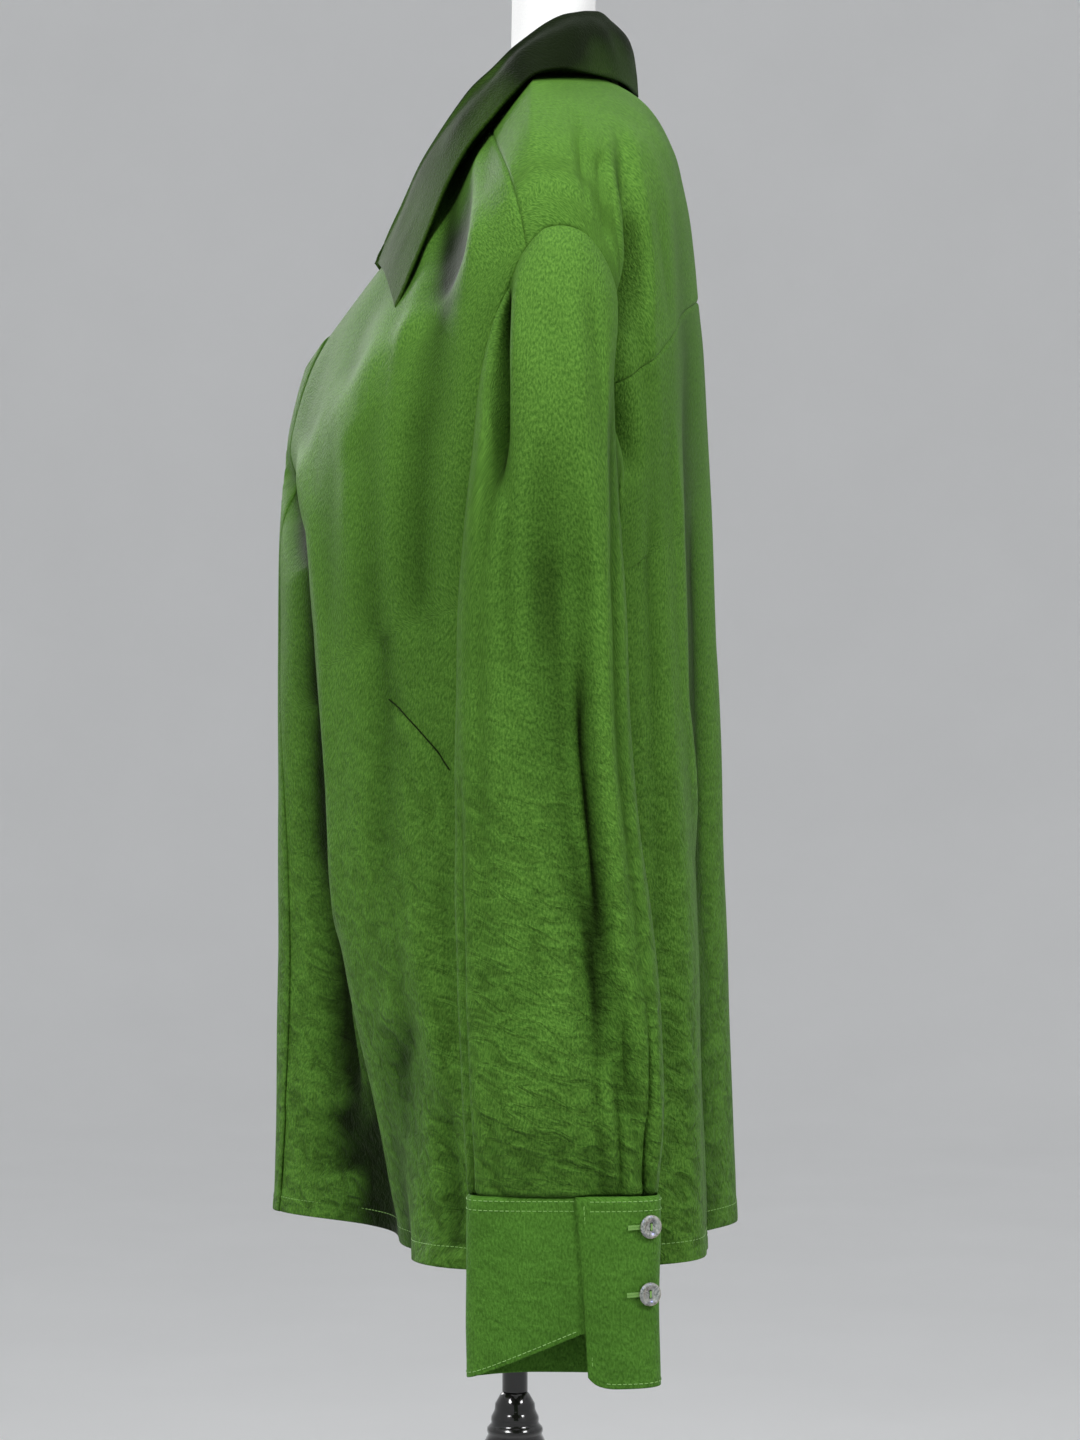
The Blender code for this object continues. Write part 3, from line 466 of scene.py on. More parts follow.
# Small folds and creases, on the left and again on the right: where the photo shows each one, in
# its pixels, then half width and height in millimetres, and how sharp it is.
DART = ((387, 700), (400, 711), (417, 727), (435, 748), (451, 769))
BODY_CREASES = (
    (((446, 190), (432, 245), (418, 300), (402, 345), (388, 380)), 8, 2.4, 1.8),
    (((470, 150), (450, 209), (444, 245), (441, 280), (438, 335)), 13, -2.4, 2.0),
    (((482, 150), (479, 213), (475, 276)), 7, 3.0, 1.8),
    (((584, 120), (585, 155), (586, 191), (591, 240)), 4, 1.6, 1.6),
    (((600, 150), (604, 200), (610, 250)), 10, -4.5, 1.9),
    (((632, 215), (629, 270), (626, 320), (625, 360), (628, 412), (632, 480)), 12, -17.0, 1.9),
    (((645, 215), (646, 270), (645, 330), (650, 380)), 7, 3.0, 1.8),
    (
        (
            (300, 430), (313, 520), (326, 647), (330, 745), (333, 800),
            (340, 906), (356, 1012), (376, 1112), (393, 1178),
        ),
        9, 3.2, 1.8,
    ),
    (
        (
            (289, 450), (297, 560), (303, 640), (306, 740),
            (308, 850), (311, 950), (318, 1050), (332, 1180),
        ),
        17, -12.0, 2.0,
    ),
    (((325, 860), (328, 940), (334, 1020), (346, 1110)), 11, -8.0, 1.8),
    (((318, 1100), (336, 1180)), 16, -6.0, 1.9),
    (((390, 1010), (404, 1090), (420, 1180), (434, 1272)), 24, -9.0, 2.0),
    (((440, 1100), (452, 1180), (460, 1260)), 12, -6.0, 1.9),
    (((372, 560), (378, 640), (385, 720), (384, 800), (380, 900)), 14, -3.6, 2.0),
    (((357, 420), (366, 520), (372, 610)), 14, -2.6, 2.0),
    (((391, 940), (406, 1029), (426, 1095), (446, 1150)), 9, -2.4, 1.8),
    (((410, 900), (425, 985), (446, 1070)), 9, 2.0, 1.8),
    (DART, 3.0, -1.6, 1.7),
    (((390, 708), (406, 722), (424, 742), (440, 762)), 5, 1.5, 1.8),
    (((405, 732), (413, 775), (418, 830)), 3.2, -0.7, 1.7),
    (((420, 745), (429, 785), (434, 840)), 2.8, -0.8, 1.7),
    (((431, 756), (440, 795), (444, 850)), 2.6, 0.9, 1.7),
    (((436, 762), (448, 806), (451, 850)), 2.5, -0.7, 1.7),
    (((413, 738), (421, 780), (427, 835)), 2.5, 0.8, 1.7),
    (((648, 470), (652, 600), (657, 760), (664, 920), (672, 1060)), 10, -3.4, 1.9),
    (((672, 400), (676, 560), (682, 700), (688, 860), (694, 1010)), 8, 2.6, 1.8),
    (((690, 480), (696, 680), (704, 860), (710, 1060)), 7, -2.2, 1.8),
    (((668, 1000), (674, 1100), (680, 1210)), 9, -2.6, 1.8),
    (((655, 200), (664, 260), (670, 330)), 10, -1.6, 1.9),
    (((340, 380), (346, 450), (352, 540)), 10, 1.8, 1.9),
    (((415, 400), (422, 520), (430, 640)), 12, -2.0, 2.0),
    (((440, 860), (449, 960), (457, 1080)), 8, -2.4, 1.8),
)


def body_fold(along, angle):
    right = np.sin(np.radians(angle)) < 0
    reach = np.abs(turn_difference(angle, 0))
    total = 0.0
    for top, hem, half_width, start, full, gone, depth, shift in BODY_FOLDS:
        middle = top + (hem - top) * along + np.where(right, shift, 0.0)
        strength = smooth_step((along - start) / (full - start))
        if gone < 2:
            strength = strength * (1 - smooth_step((along - full) / (gone - full)))
        total = total + depth * strength * bump(reach - middle, half_width)
    return total


def body_crease(along, angle):
    right = np.sin(np.radians(angle)) < 0
    reach = np.abs(turn_difference(angle, 0)) - np.where(right, 1.5, 0.0)
    return crease_depth(along * BODY_ALONG_SIZE, reach * BODY_DEGREE_SIZE, BODY_LINES)


# Empty until the creases are placed on the body that has only its folds.
BODY_LINES = []


def body_shape(along, angle):
    """Points of the inner face of the blouse's body."""
    along, angle = np.broadcast_arrays(np.asarray(along, float), np.asarray(angle, float))
    depth = body_fold(along, angle) + body_crease(along, angle)
    return body_smooth(along, angle) + away(body_smooth, along, angle) * depth[..., None]


BODY_LINES += creases_on(
    body_shape,
    np.linspace(0, 1, 420),
    np.linspace(2, 175, 500),
    BODY_ALONG_SIZE,
    BODY_DEGREE_SIZE,
    BODY_CREASES,
)

ARMHOLE_CENTRE, ARMHOLE_HALF = 0.50, 0.12
ARMHOLE_FRONT, ARMHOLE_BACK = 17.0, 21.0
ARMHOLE_TOP_ANGLE, SIDE_SEAM_ANGLE = 93.0, 90.0


def armhole_side(along, towards_back):
    """Angle of the armhole's front or back edge at places along the body."""
    cosine = np.clip((ARMHOLE_CENTRE - along) / ARMHOLE_HALF, -1, 1)
    middle = ARMHOLE_TOP_ANGLE + (SIDE_SEAM_ANGLE - ARMHOLE_TOP_ANGLE) * (1 - cosine) / 2
    reach = ARMHOLE_BACK if towards_back else -ARMHOLE_FRONT
    return middle + reach * np.sqrt(1 - cosine**2)


def armhole(turn):
    """Along and angle of the left armhole: 0 at the top, 90 at the back, 180 under the arm."""
    sine, cosine = np.sin(np.radians(turn)), np.cos(np.radians(turn))
    along = ARMHOLE_CENTRE - ARMHOLE_HALF * cosine
    middle = ARMHOLE_TOP_ANGLE + (SIDE_SEAM_ANGLE - ARMHOLE_TOP_ANGLE) * (1 - cosine) / 2
    return along, middle + np.where(sine > 0, ARMHOLE_BACK, ARMHOLE_FRONT) * sine


YOKE_FRONT_POINT, YOKE_BACK_POINT = -30, 90
YOKE_FRONT_NECK_ANGLE, YOKE_SEAM_CURVE = 72.0, 1.6
YOKE_BACK_RISE = 0.055
YOKE_TURN_SHARE = 8 / 21
CLOTH_MIDDLE = 0.0009
CLOTH_THICK = 0.0009
FRONT_OVERLAP = 0.016
FRONT_LIFT = 0.0012


def crowded(count, length, close=(0.0007, 0.0014, 0.0024, 0.0040)):
    """Shares from 0 to 1 with extra places close to both ends, where the seams need them."""
    near = np.array(close) / length
    even = np.linspace(0, 1, count)
    even = even[(even > near[-1] * 1.4) & (even < 1 - near[-1] * 1.4)]
    return np.r_[0, near, even, 1 - near[::-1], 1]


def edge_relief(distance, kind):
    """How an edge dips into its seam, or stands up as a turned and stitched hem."""
    if kind == "seam":
        return -0.0011 * np.exp(-((distance / 0.0012) ** 2))
    if kind == "lap":
        return -0.0006 * np.exp(-((distance / 0.0020) ** 2))
    if kind == "hem":
        band = 0.00045 * (1 - smooth_step((distance - 0.0080) / 0.0012))
        return band - 0.00035 * np.exp(-(((distance - 0.0068) / 0.0009) ** 2))
    return 0.0


def ripples(points, size, depth, seed):
    """Shallow uneven waves, longer down than across, that keep large areas from lying flat."""
    flat = points.reshape(-1, 3)
    wave = [
        noise.noise(Vector((p[0] / size, p[1] / size + seed, p[2] / (size * 2.4)))) for p in flat
    ]
    return depth * np.array(wave).reshape(points.shape[:-1])


# Size and depth of the body's shallow waves, and where in the noise they are taken from.
BODY_WAVES = (0.035, 0.0016, 0.0)
WAVES_FADE = 0.03


def sewn(surface, edges, lift=None, waves=BODY_WAVES):
    """A surface whose edges dip into seams or stand up as hems: left, right, top, bottom."""

    def laid(down, over):
        points = surface(down, over)
        across = np.linalg.norm(np.diff(points, axis=1), axis=-1)
        from_left = np.pad(np.cumsum(across, axis=1), ((0, 0), (1, 0)))
        lower = np.linalg.norm(np.diff(points, axis=0), axis=-1)
        from_top = np.pad(np.cumsum(lower, axis=0), ((1, 0), (0, 0)))
        from_right = from_left[:, -1:] - from_left
        from_bottom = from_top[-1:] - from_top
        round_it = np.gradient(points, axis=1)
        out = unit(np.cross(np.gradient(points, axis=0), round_it))
        height = np.full(points.shape[:-1], CLOTH_MIDDLE)
        for distance, kind in zip((from_left, from_right, from_top, from_bottom), edges):
            height = height + edge_relief(distance, kind)
        inner = np.minimum(np.minimum(from_left, from_right), np.minimum(from_top, from_bottom))
        height += ripples(points, *waves) * smooth_step(inner / WAVES_FADE)
        if lift is not None:
            height += lift(points)
        return points + out * height[..., None]

    return laid


def cloth_piece(name, shape, material, replaced, thick=CLOTH_THICK):
    piece = place_piece(name, shape, material, replaced, sharp=0)
    wall = piece.modifiers.new("thickness", "SOLIDIFY")
    wall.thickness = thick
    wall.offset = 0.0
    wall.use_even_offset = False
    return piece


def back_surface(down, over):
    """Down from the yoke's seam to the hem; over from the wearer's left side to the right."""
    top = armhole(YOKE_BACK_POINT)[0]
    along = top + (1 - top) * down
    beside_armhole = along < ARMHOLE_CENTRE + ARMHOLE_HALF
    outer = np.where(beside_armhole, armhole_side(along, True), SIDE_SEAM_ANGLE)
    share = np.abs(2 * over - 1)
    rise = YOKE_BACK_RISE * (1 - share**1.5) * (1 - along) / (1 - top)
    angle = 180 + np.sign(2 * over - 1) * (180 - outer) * share
    return body_shape(along - rise, angle)


def yoke_surface(down, over):
    """Down from the neckline to the seams; over from the left front round to the right front."""
    turns, backs = YOKE_TURN_SHARE, 1 - YOKE_TURN_SHARE
    half = 1 - np.abs(2 * over - 1)
    turn = YOKE_FRONT_POINT + (YOKE_BACK_POINT - YOKE_FRONT_POINT) * np.minimum(half / turns, 1)
    along, angle = armhole(turn)
    out = 1 - np.clip((half - turns) / backs, 0, 1)
    along = along - YOKE_BACK_RISE * (1 - out**1.5)
    angle = np.where(half > turns, 180 + (angle - 180) * out, angle)
    neck = YOKE_FRONT_NECK_ANGLE + (180 - YOKE_FRONT_NECK_ANGLE) * half
    placed = neck + (angle - neck) * down**YOKE_SEAM_CURVE
    return body_shape(along * down, np.where(over > 0.5, 360 - placed, placed))


def front_surface(side):
    def surface(down, over):
        """Down from the neckline to the hem; over from the closing edge to the side."""
        seam_along, seam_angle = armhole(YOKE_FRONT_POINT)
        share = (np.minimum(down, seam_along) / seam_along) ** YOKE_SEAM_CURVE
        seam = YOKE_FRONT_NECK_ANGLE + (seam_angle - YOKE_FRONT_NECK_ANGLE) * share
        beside_armhole = down < ARMHOLE_CENTRE + ARMHOLE_HALF
        outer = np.where(beside_armhole, armhole_side(down, False), SIDE_SEAM_ANGLE)
        outer = np.where(down < seam_along, seam, outer)
        power = read(BODY_RINGS, "front_power", down)
        past = (FRONT_OVERLAP / read(BODY_RINGS, "side_x", down)) ** (1 / power)
        inner = -np.degrees(np.arcsin(past))
        return body_shape(down, side * (inner + (outer - inner) * over))

    return surface


def right_over_left(points):
    """The right front lies over the left one at the centre, and comes down again beyond it."""
    past = -points[..., 0] - FRONT_OVERLAP - 0.004
    return FRONT_LIFT * (1 - smooth_step(past / 0.014))


# Crepe-backed satin: a fine twisted weft gives a dry pebble under a soft bright face, with small
# crinkles that are stronger low down, where the cloth hangs free. The pebble is 0.5 mm in the
# real cloth and drawn at 1.1 mm, so that it shows. Light runs down it in soft bands, partly from
# its gloss and partly as painted highlight on the ridges of its folds. Its colour also carries
# painted shade, in its folds and in the hollows of its crinkles.
PEBBLE, CRINKLE, SLUB = 0.0011, 0.0070, 0.0030
WARP_STRETCH = 0.45
CRINKLE_SLANT, CRINKLE_STRETCH, CRINKLE_HEIGHTS = 24, 2.6, (1.10, 0.72)
# Colour multipliers of the painted light: painted highlight on ridges, slight painted shade on
# level cloth, deep painted shade in hollows.
RIDGE_PAINTED_HIGHLIGHT, LEVEL_PAINTED_LIGHT, HOLLOW_PAINTED_SHADE = (1.40, 1.34, 1.42), (0.88, 0.88, 0.88), (0.06, 0.06, 0.06)


def ranged(tree, value, taken, given, **settings):
    """A value moved from one range to another, and kept inside it."""
    links = {"Value": value, "From Min": taken[0], "From Max": taken[1]}
    links |= {"To Min": given[0], "To Max": given[1]}
    return add_node(tree, "ShaderNodeMapRange", links, **settings).outputs[0]


def satin(name, dark, light, roughness, sheen, crinkled):
    material, tree, shader = new_material(
        name,
        {
            "Sheen Weight": sheen,
            "Sheen Roughness": 0.40,
            "Sheen Tint": colour("#A9C98A"),
            "Specular IOR Level": 0.12,
            "Specular Tint": colour("#9CCB6A"),
        },
    )
    cut = add_node(tree, "ShaderNodeUVMap", uv_map="cut").outputs[0]
    place = add_node(tree, "ShaderNodeTexCoord").outputs["Object"]
    stretched = add_node(
        tree, "ShaderNodeMapping", {"Vector": cut, "Scale": (1.0, WARP_STRETCH, 1.0)}
    ).outputs[0]
    pebble = cloudy(tree, stretched, PEBBLE, 1.5, Roughness=0.6)
    slub = cloudy(tree, stretched, SLUB, 3.0)
    slanting = add_node(
        tree,
        "ShaderNodeMapping",
        {
            "Vector": place,
            "Rotation": (-math.radians(CRINKLE_SLANT), 0.0, 0.0),
            "Scale": (1.0, CRINKLE_STRETCH, 1.0),
        },
        vector_type="TEXTURE",
    )
    crinkle = cloudy(tree, slanting.outputs[0], CRINKLE, 3.0, Roughness=0.55, Distortion=0.9)
    height = add_node(tree, "ShaderNodeSeparateXYZ", {0: place}).outputs["Z"]
    low_down = ranged(
        tree, height, CRINKLE_HEIGHTS, (0.12 * crinkled, crinkled), interpolation_type="SMOOTHSTEP"
    )

    grain = ranged(tree, pebble, (0.34, 0.66), (0.0, 1.0))
    cloth = mixed(tree, grain, colour(dark), colour(light))
    # Painted shade in the hollows of the crinkles, with slight painted light on their crests,
    # strongest low down, which darkens the cloth there.
    crinkle_painted_shade = ranged(tree, crinkle, (0.36, 0.60), (0.62, 1.12))
    cloth = mixed(tree, low_down, cloth, crinkle_painted_shade, "MULTIPLY")
    # Painted shade in the folds and painted highlight on the ridges, read from each point's fold
    # depth.
    painted_light_mask = add_node(tree, "ShaderNodeAttribute", attribute_name="painted_light_mask").outputs["Fac"]
    painted_fold_light = add_node(tree, "ShaderNodeValToRGB", {0: painted_light_mask})
    ramp = painted_fold_light.color_ramp.elements
    ramp[0].position, ramp[0].color = 0.0, (*RIDGE_PAINTED_HIGHLIGHT, 1.0)
    ramp[1].position, ramp[1].color = 1.0, (*HOLLOW_PAINTED_SHADE, 1.0)
    ramp.new(0.5).color = (*LEVEL_PAINTED_LIGHT, 1.0)
    cloth = mixed(tree, 1.0, cloth, painted_fold_light.outputs[0], "MULTIPLY")
    tree.links.new(cloth, shader.inputs["Base Color"])
    dull = ranged(tree, slub, (0.0, 1.0), (roughness - 0.05, roughness + 0.06))
    tree.links.new(dull, shader.inputs["Roughness"])
    fine = bumped(tree, pebble, 0.90, 0.0008)
    crumpled = bumped(tree, crinkle, low_down, 0.0030, fine)
    tree.links.new(crumpled, shader.inputs["Normal"])
    return material


green_satin = satin("green_crepe_backed_satin", "#2E4F19", "#456926", 0.56, 0.04, 1.0)

FRONT_ROWS, FRONT_COLUMNS = 215, 92
BACK_ROWS, BACK_COLUMNS = 175, 170
YOKE_ROWS, YOKE_COLUMNS = 62, 190
HEM_CLOSE = (0.0008, 0.0018, 0.0032, 0.0048, 0.0060, 0.0068, 0.0076, 0.0088, 0.0105)

down = crowded(FRONT_ROWS, 0.62, HEM_CLOSE)
over = crowded(FRONT_COLUMNS, 0.28)
shape = grid_piece(down, over, sewn(front_surface(1), ("", "seam", "seam", "hem")))
front_left = cloth_piece("front_left_satin", shape, green_satin, ["front_left"])
shape = grid_piece(
    down,
    over[::-1],
    sewn(front_surface(-1), ("seam", "lap", "seam", "hem"), lift=right_over_left),
)
front_right = cloth_piece("front_right_satin", shape, green_satin, ["front_right"])
shape = grid_piece(
    crowded(BACK_ROWS, 0.60, HEM_CLOSE),
    crowded(BACK_COLUMNS, 0.55),
    sewn(back_surface, ("seam", "seam", "seam", "hem")),
)
back = cloth_piece("back_satin", shape, green_satin, ["back"])
shape = grid_piece(
    crowded(YOKE_ROWS, 0.18),
    crowded(YOKE_COLUMNS, 0.60),
    sewn(yoke_surface, ("seam", "seam", "seam", "seam")),
)
yoke = cloth_piece("yoke_satin", shape, green_satin, ["yoke"])


# The collar: one pointed leaf on each side in the same cloth, cut in one with its stand, rolled
# over at the neck and left open down the V of the fronts. Its edge is turned and pressed flat.

COLLAR_SHAPE = table(
    "t neck_angle roll_x roll_y roll_z fall_x fall_y fall_z roll_width",
    (0.00, 180.0, 0.0000, 0.0560, 1.3940, 0.0000, 0.0738, 1.3510, 0.0040),
    (0.12, 162.0, 0.0210, 0.0535, 1.3950, 0.0340, 0.0680, 1.3505, 0.0040),
    (0.21, 146.0, 0.0380, 0.0475, 1.3945, 0.0600, 0.0605, 1.3500, 0.0040),
    (0.30, 124.0, 0.0550, 0.0370, 1.3910, 0.0840, 0.0481, 1.3490, 0.0040),
    (0.36, 106.0, 0.0660, 0.0270, 1.3865, 0.1000, 0.0370, 1.3485, 0.0040),
    (0.41, 92.0, 0.0730, 0.0140, 1.3780, 0.1100, 0.0256, 1.3480, 0.0040),
    (0.46, 72.5, 0.0765, -0.0020, 1.3655, 0.1165, 0.0110, 1.3435, 0.0040),
    (0.51, 64.5, 0.0750, -0.0142, 1.3530, 0.1185, -0.0008, 1.3328, 0.0038),
    (0.57, 58.2, 0.0715, -0.0268, 1.3405, 0.1190, -0.0125, 1.3195, 0.0036),
    (0.64, 53.3, 0.0665, -0.0415, 1.3225, 0.1185, -0.0260, 1.3030, 0.0034),
    (0.73, 49.1, 0.0600, -0.0560, 1.2990, 0.1200, -0.0385, 1.2800, 0.0030),
    (0.82, 45.4, 0.0530, -0.0675, 1.2755, 0.1225, -0.0480, 1.2560, 0.0026),
    (0.90, 42.3, 0.0475, -0.0756, 1.2585, 0.1300, -0.0565, 1.2340, 0.0022),
    (1.00, 39.6, 0.0395, -0.0802, 1.2485, 0.1420, -0.0657, 1.2090, 0.0016),
)
COLLAR_BULGE = 0.004
COLLAR_ROWS, COLLAR_COLUMNS = 46, 250
COLLAR_THICK = 0.0016
# Shares of the way down the leaf: seam, mid stand, before, on and behind the roll, then the fall.
COLLAR_STATIONS = (0.0, 0.22, 0.36, 0.42, 0.48, 0.66, 0.83, 1.0)


def collar_surface(down, over):
    """Down from the neckline over the roll to the edge; over from right point to left point."""
    side, t = np.where(over < 0.5, -1.0, 1.0), np.abs(2 * over - 1)
    edge = body_shape(0 * t, read(COLLAR_SHAPE, "neck_angle", t))
    lower = body_shape(0 * t + 0.01, read(COLLAR_SHAPE, "neck_angle", t))
    base = edge + unit(lower - edge) * 0.0012
    roll = np.stack([read(COLLAR_SHAPE, f"roll_{axis}", t) for axis in "xyz"], axis=-1)
    fall = np.stack([read(COLLAR_SHAPE, f"fall_{axis}", t) for axis in "xyz"], axis=-1)
    flat = (fall - base) * (1, 1, 0)
    out = unit(flat)
    up = np.array((0.0, 0.0, 1.0))
    width = read(COLLAR_SHAPE, "roll_width", t)[..., None]
    drop = np.minimum(0.003, np.linalg.norm(roll - base, axis=-1, keepdims=True) / 5)
    bulge = out * COLLAR_BULGE + up * COLLAR_BULGE / 2
    turned = roll + out * width
    stations = (
        base,
        base + (roll - base) * 0.5 + out * 0.001,
        roll - out * width - up * drop,
        roll,
        turned - up * drop,
        turned + (fall - turned) * 0.35 + bulge,
        turned + (fall - turned) * 0.7 + bulge * 0.7,
        fall,
    )
    places = np.array(COLLAR_STATIONS)
    bent = np.stack(stations, axis=-2)
    laid = np.zeros(bent.shape[:-2] + (3,))
    last = len(places) - 1
    low, high = np.r_[0, np.arange(last)], np.r_[np.arange(1, last + 1), last]
    slopes = (bent[..., high, :] - bent[..., low, :]) / (places[high] - places[low])[:, None]
    for i in range(last):
        span = places[i + 1] - places[i]
        s = np.clip((down - places[i]) / span, 0, 1)[..., None]
        ends = (bent[..., i, :], bent[..., i + 1, :])
        part = curve_between(s, span, *ends, slopes[..., i, :], slopes[..., i + 1, :])
        here = (down >= places[i]) & ((down < places[i + 1]) | (i == last - 1))
        laid = np.where(here[..., None], part, laid)
    laid[..., 0] *= side
    return laid


collar_satin = satin("crepe_side_of_the_satin", "#22370F", "#304A16", 0.62, 0.02, 0.8)
shape = grid_piece(
    np.linspace(0, 1, COLLAR_ROWS),
    crowded(COLLAR_COLUMNS, 0.9),
    sewn(collar_surface, ("", "", "", ""), waves=(0.020, 0.0012, 3.0)),
)
collar = cloth_piece("collar_satin", shape, collar_satin, ["collar"], COLLAR_THICK)


# The sleeves: long, cut full, eased into a dropped armhole and gathered into the cuff, with one
# seam under the arm. They hang straight down from the shoulder's edge with nothing in them.

SLEEVE_RINGS = table(
    "down height front_y back_y inner_x outer_x",
    (0.00, 1.0450, -0.0285, 0.0600, 0.2215, 0.2700),
    (0.25, 0.9570, -0.0295, 0.0640, 0.2225, 0.2750),
    (0.50, 0.8800, -0.0295, 0.0735, 0.2235, 0.2785),
    (0.72, 0.8150, -0.0280, 0.0790, 0.2250, 0.2815),
    (0.86, 0.7700, -0.0255, 0.0795, 0.2275, 0.2810),
    (1.00, 0.7324, -0.0232, 0.0768, 0.2385, 0.2690),
)
SLEEVE_ROUNDNESS = 0.80
SLEEVE_CAP_BULGE, SLEEVE_CAP_POWER = 0.012, 1.25
SLEEVE_LIFT = 0.0018
CLOTH = 0.0015
SLEEVE_FOLDS = (
    # armhole angle, cuff angle, half width, start, full, gone, depth
    (-50.0, -35.0, 17.0, 0.02, 0.14, 0.55, -0.012),
    (-14.0, 16.0, 13.0, 0.25, 0.70, 1.30, -0.005),
    (18.0, 30.0, 12.0, 0.40, 0.75, 1.30, -0.005),
    (60.0, 55.0, 16.0, 0.02, 0.30, 1.30, -0.004),
    (62.0, 62.0, 9.0, 0.80, 0.95, 1.30, -0.007),
    (180.0, 172.0, 22.0, 0.20, 0.60, 1.30, -0.006),
    (-70.0, -72.0, 12.0, 0.55, 0.85, 1.30, -0.004),
)
# Small folds of the sleeves, with the same columns as the body's creases.
SLEEVE_CREASES = (
    (((507, 240), (504, 270), (502, 320), (502, 370), (504, 430), (508, 500)), 7.0, -17.0, 1.7),
    (((516, 240), (516, 300), (518, 380)), 6, 2.6, 1.7),
    (
        (
            (561, 240), (570, 287), (581, 421), (591, 515), (599.5, 598),
            (603, 662), (608, 764), (616, 892), (616, 980),
        ),
        7, 2.6, 1.7,
    ),
    (((567.6, 636), (580, 751), (588, 841), (593, 943), (598, 1002), (605, 1110)), 8, -8.5, 1.7),
    (((540, 440), (555, 540), (567, 640)), 9, -2.0, 1.9),
    (
        (
            (515, 434), (508, 528), (508.4, 560), (514, 670), (521.6, 703), (528, 739),
            (529, 790), (539.5, 917), (549.7, 1010), (567.6, 1104), (585, 1180),
        ),
        4.5, -1.7, 1.6,
    ),
    (((600, 860), (604, 940), (612, 1010), (620, 1090)), 6, 2.0, 1.7),
    (((625, 980), (630, 1090), (638, 1142), (648, 1190)), 5.5, -8.0, 1.5),
    (((640, 1040), (646, 1110), (653, 1180)), 4, 3.4, 1.6),
    (((572, 1100), (583, 1150), (590, 1192)), 3.0, -2.8, 1.5),
    (((582, 1095), (592, 1150), (597, 1192)), 3.0, 2.4, 1.5),
    (((594, 1100), (601, 1150), (604, 1194)), 3.0, -3.2, 1.5),
    (((606, 1110), (612, 1155), (615, 1195)), 3.0, 2.6, 1.5),
    (((612, 1080), (620, 1150), (625, 1195)), 3.2, -4.0, 1.5),
    (((546, 1115), (558, 1160), (567, 1192)), 3.0, -2.2, 1.5),
    (((516, 1130), (528, 1165), (538, 1194)), 3.0, -1.8, 1.5),
    (((488, 1120), (497, 1160), (503, 1194)), 3.0, -1.8, 1.5),
    (((470, 1090), (474, 1150), (480, 1190)), 3.4, 1.1, 1.5),
    (((484, 600), (482, 760), (484, 880), (490, 1010)), 9, -1.8, 1.9),
    (((545, 330), (548, 430), (550, 560)), 10, 2.0, 1.9),
    (((590, 300), (600, 380), (606, 470)), 6, -1.8, 1.7),
    (((556, 880), (564, 990), (576, 1080)), 6, 1.5, 1.7),
)
SLEEVE_DOWN_SIZE, SLEEVE_DEGREE_SIZE = 0.27, 0.00078
SLEEVE_LINES = []


def flat_round(centre, half, turn, flatness):
    """Plan of a flattened tube: 0 degrees is +X and 90 is +Y."""
    x = centre[0] + half[0] * signed_power(np.cos(np.radians(turn)), flatness)
    y = centre[1] + half[1] * signed_power(np.sin(np.radians(turn)), flatness)
    return x, y


def sleeve_ring(down, turn):
    inner, outer = read(SLEEVE_RINGS, "inner_x", down), read(SLEEVE_RINGS, "outer_x", down)
    front, back = read(SLEEVE_RINGS, "front_y", down), read(SLEEVE_RINGS, "back_y", down)
    centre = ((inner + outer) / 2, (front + back) / 2)
    half = ((outer - inner) / 2 - CLOTH, (back - front) / 2 - CLOTH)
    x, y = flat_round(centre, half, turn, SLEEVE_ROUNDNESS)
    return np.stack([x, y, read(SLEEVE_RINGS, "height", down) + 0 * x], axis=-1)


def sleeve_smooth(down, turn):
    """Inner face; down is -1 at the armhole, 0 at the upper arm and 1 at the cuff."""
    down, turn = np.broadcast_arrays(np.asarray(down, float), np.asarray(turn, float))
    share = np.clip(down + 1, 0, 1)[..., None]
    along, angle = armhole(turn)
    normal = away(body_shape, along, angle)
    start = body_shape(along, angle) + normal * SLEEVE_LIFT
    end = sleeve_ring(np.maximum(down, 0), turn)
    blend = share**SLEEVE_CAP_POWER
    cap = start + (end - start) * blend
    outward = SLEEVE_CAP_BULGE * np.sin(np.pi * share[..., 0]) * np.maximum(normal[..., 0], 0)
    cap[..., 0] += (end - start)[..., 0] * (np.sqrt(share) - blend)[..., 0] + outward
    return np.where((down >= 0)[..., None], end, cap)


def sleeve_shape(down, turn):
    down, turn = np.broadcast_arrays(np.asarray(down, float), np.asarray(turn, float))
    share = (down + 1) / 2
    total = 0.0
    for top, cuff, half_width, start, full, gone, depth in SLEEVE_FOLDS:
        middle = top + (cuff - top) * share
        strength = smooth_step((share - start) / (full - start))
        strength = strength * (1 - smooth_step((share - full) / (gone - full)))
        total = total + depth * strength * bump(turn_difference(turn, middle), half_width)
    reach = turn_difference(turn, 0) * SLEEVE_DEGREE_SIZE
    total = total + crease_depth(down * SLEEVE_DOWN_SIZE, reach, SLEEVE_LINES)
    low, high = sleeve_smooth(down, turn - 4), sleeve_smooth(down, turn + 4)
    flat = np.stack([(high - low)[..., 1], (low - high)[..., 0], 0 * down], axis=-1)
    return sleeve_smooth(down, turn) + unit(flat) * total[..., None]


SLEEVE_LINES += creases_on(
    sleeve_shape,
    np.linspace(-1, 1, 420),
    np.linspace(-100, 100, 400),
    SLEEVE_DOWN_SIZE,
    SLEEVE_DEGREE_SIZE,
    SLEEVE_CREASES,
)
SLEEVE_ROWS, SLEEVE_COLUMNS = 200, 150


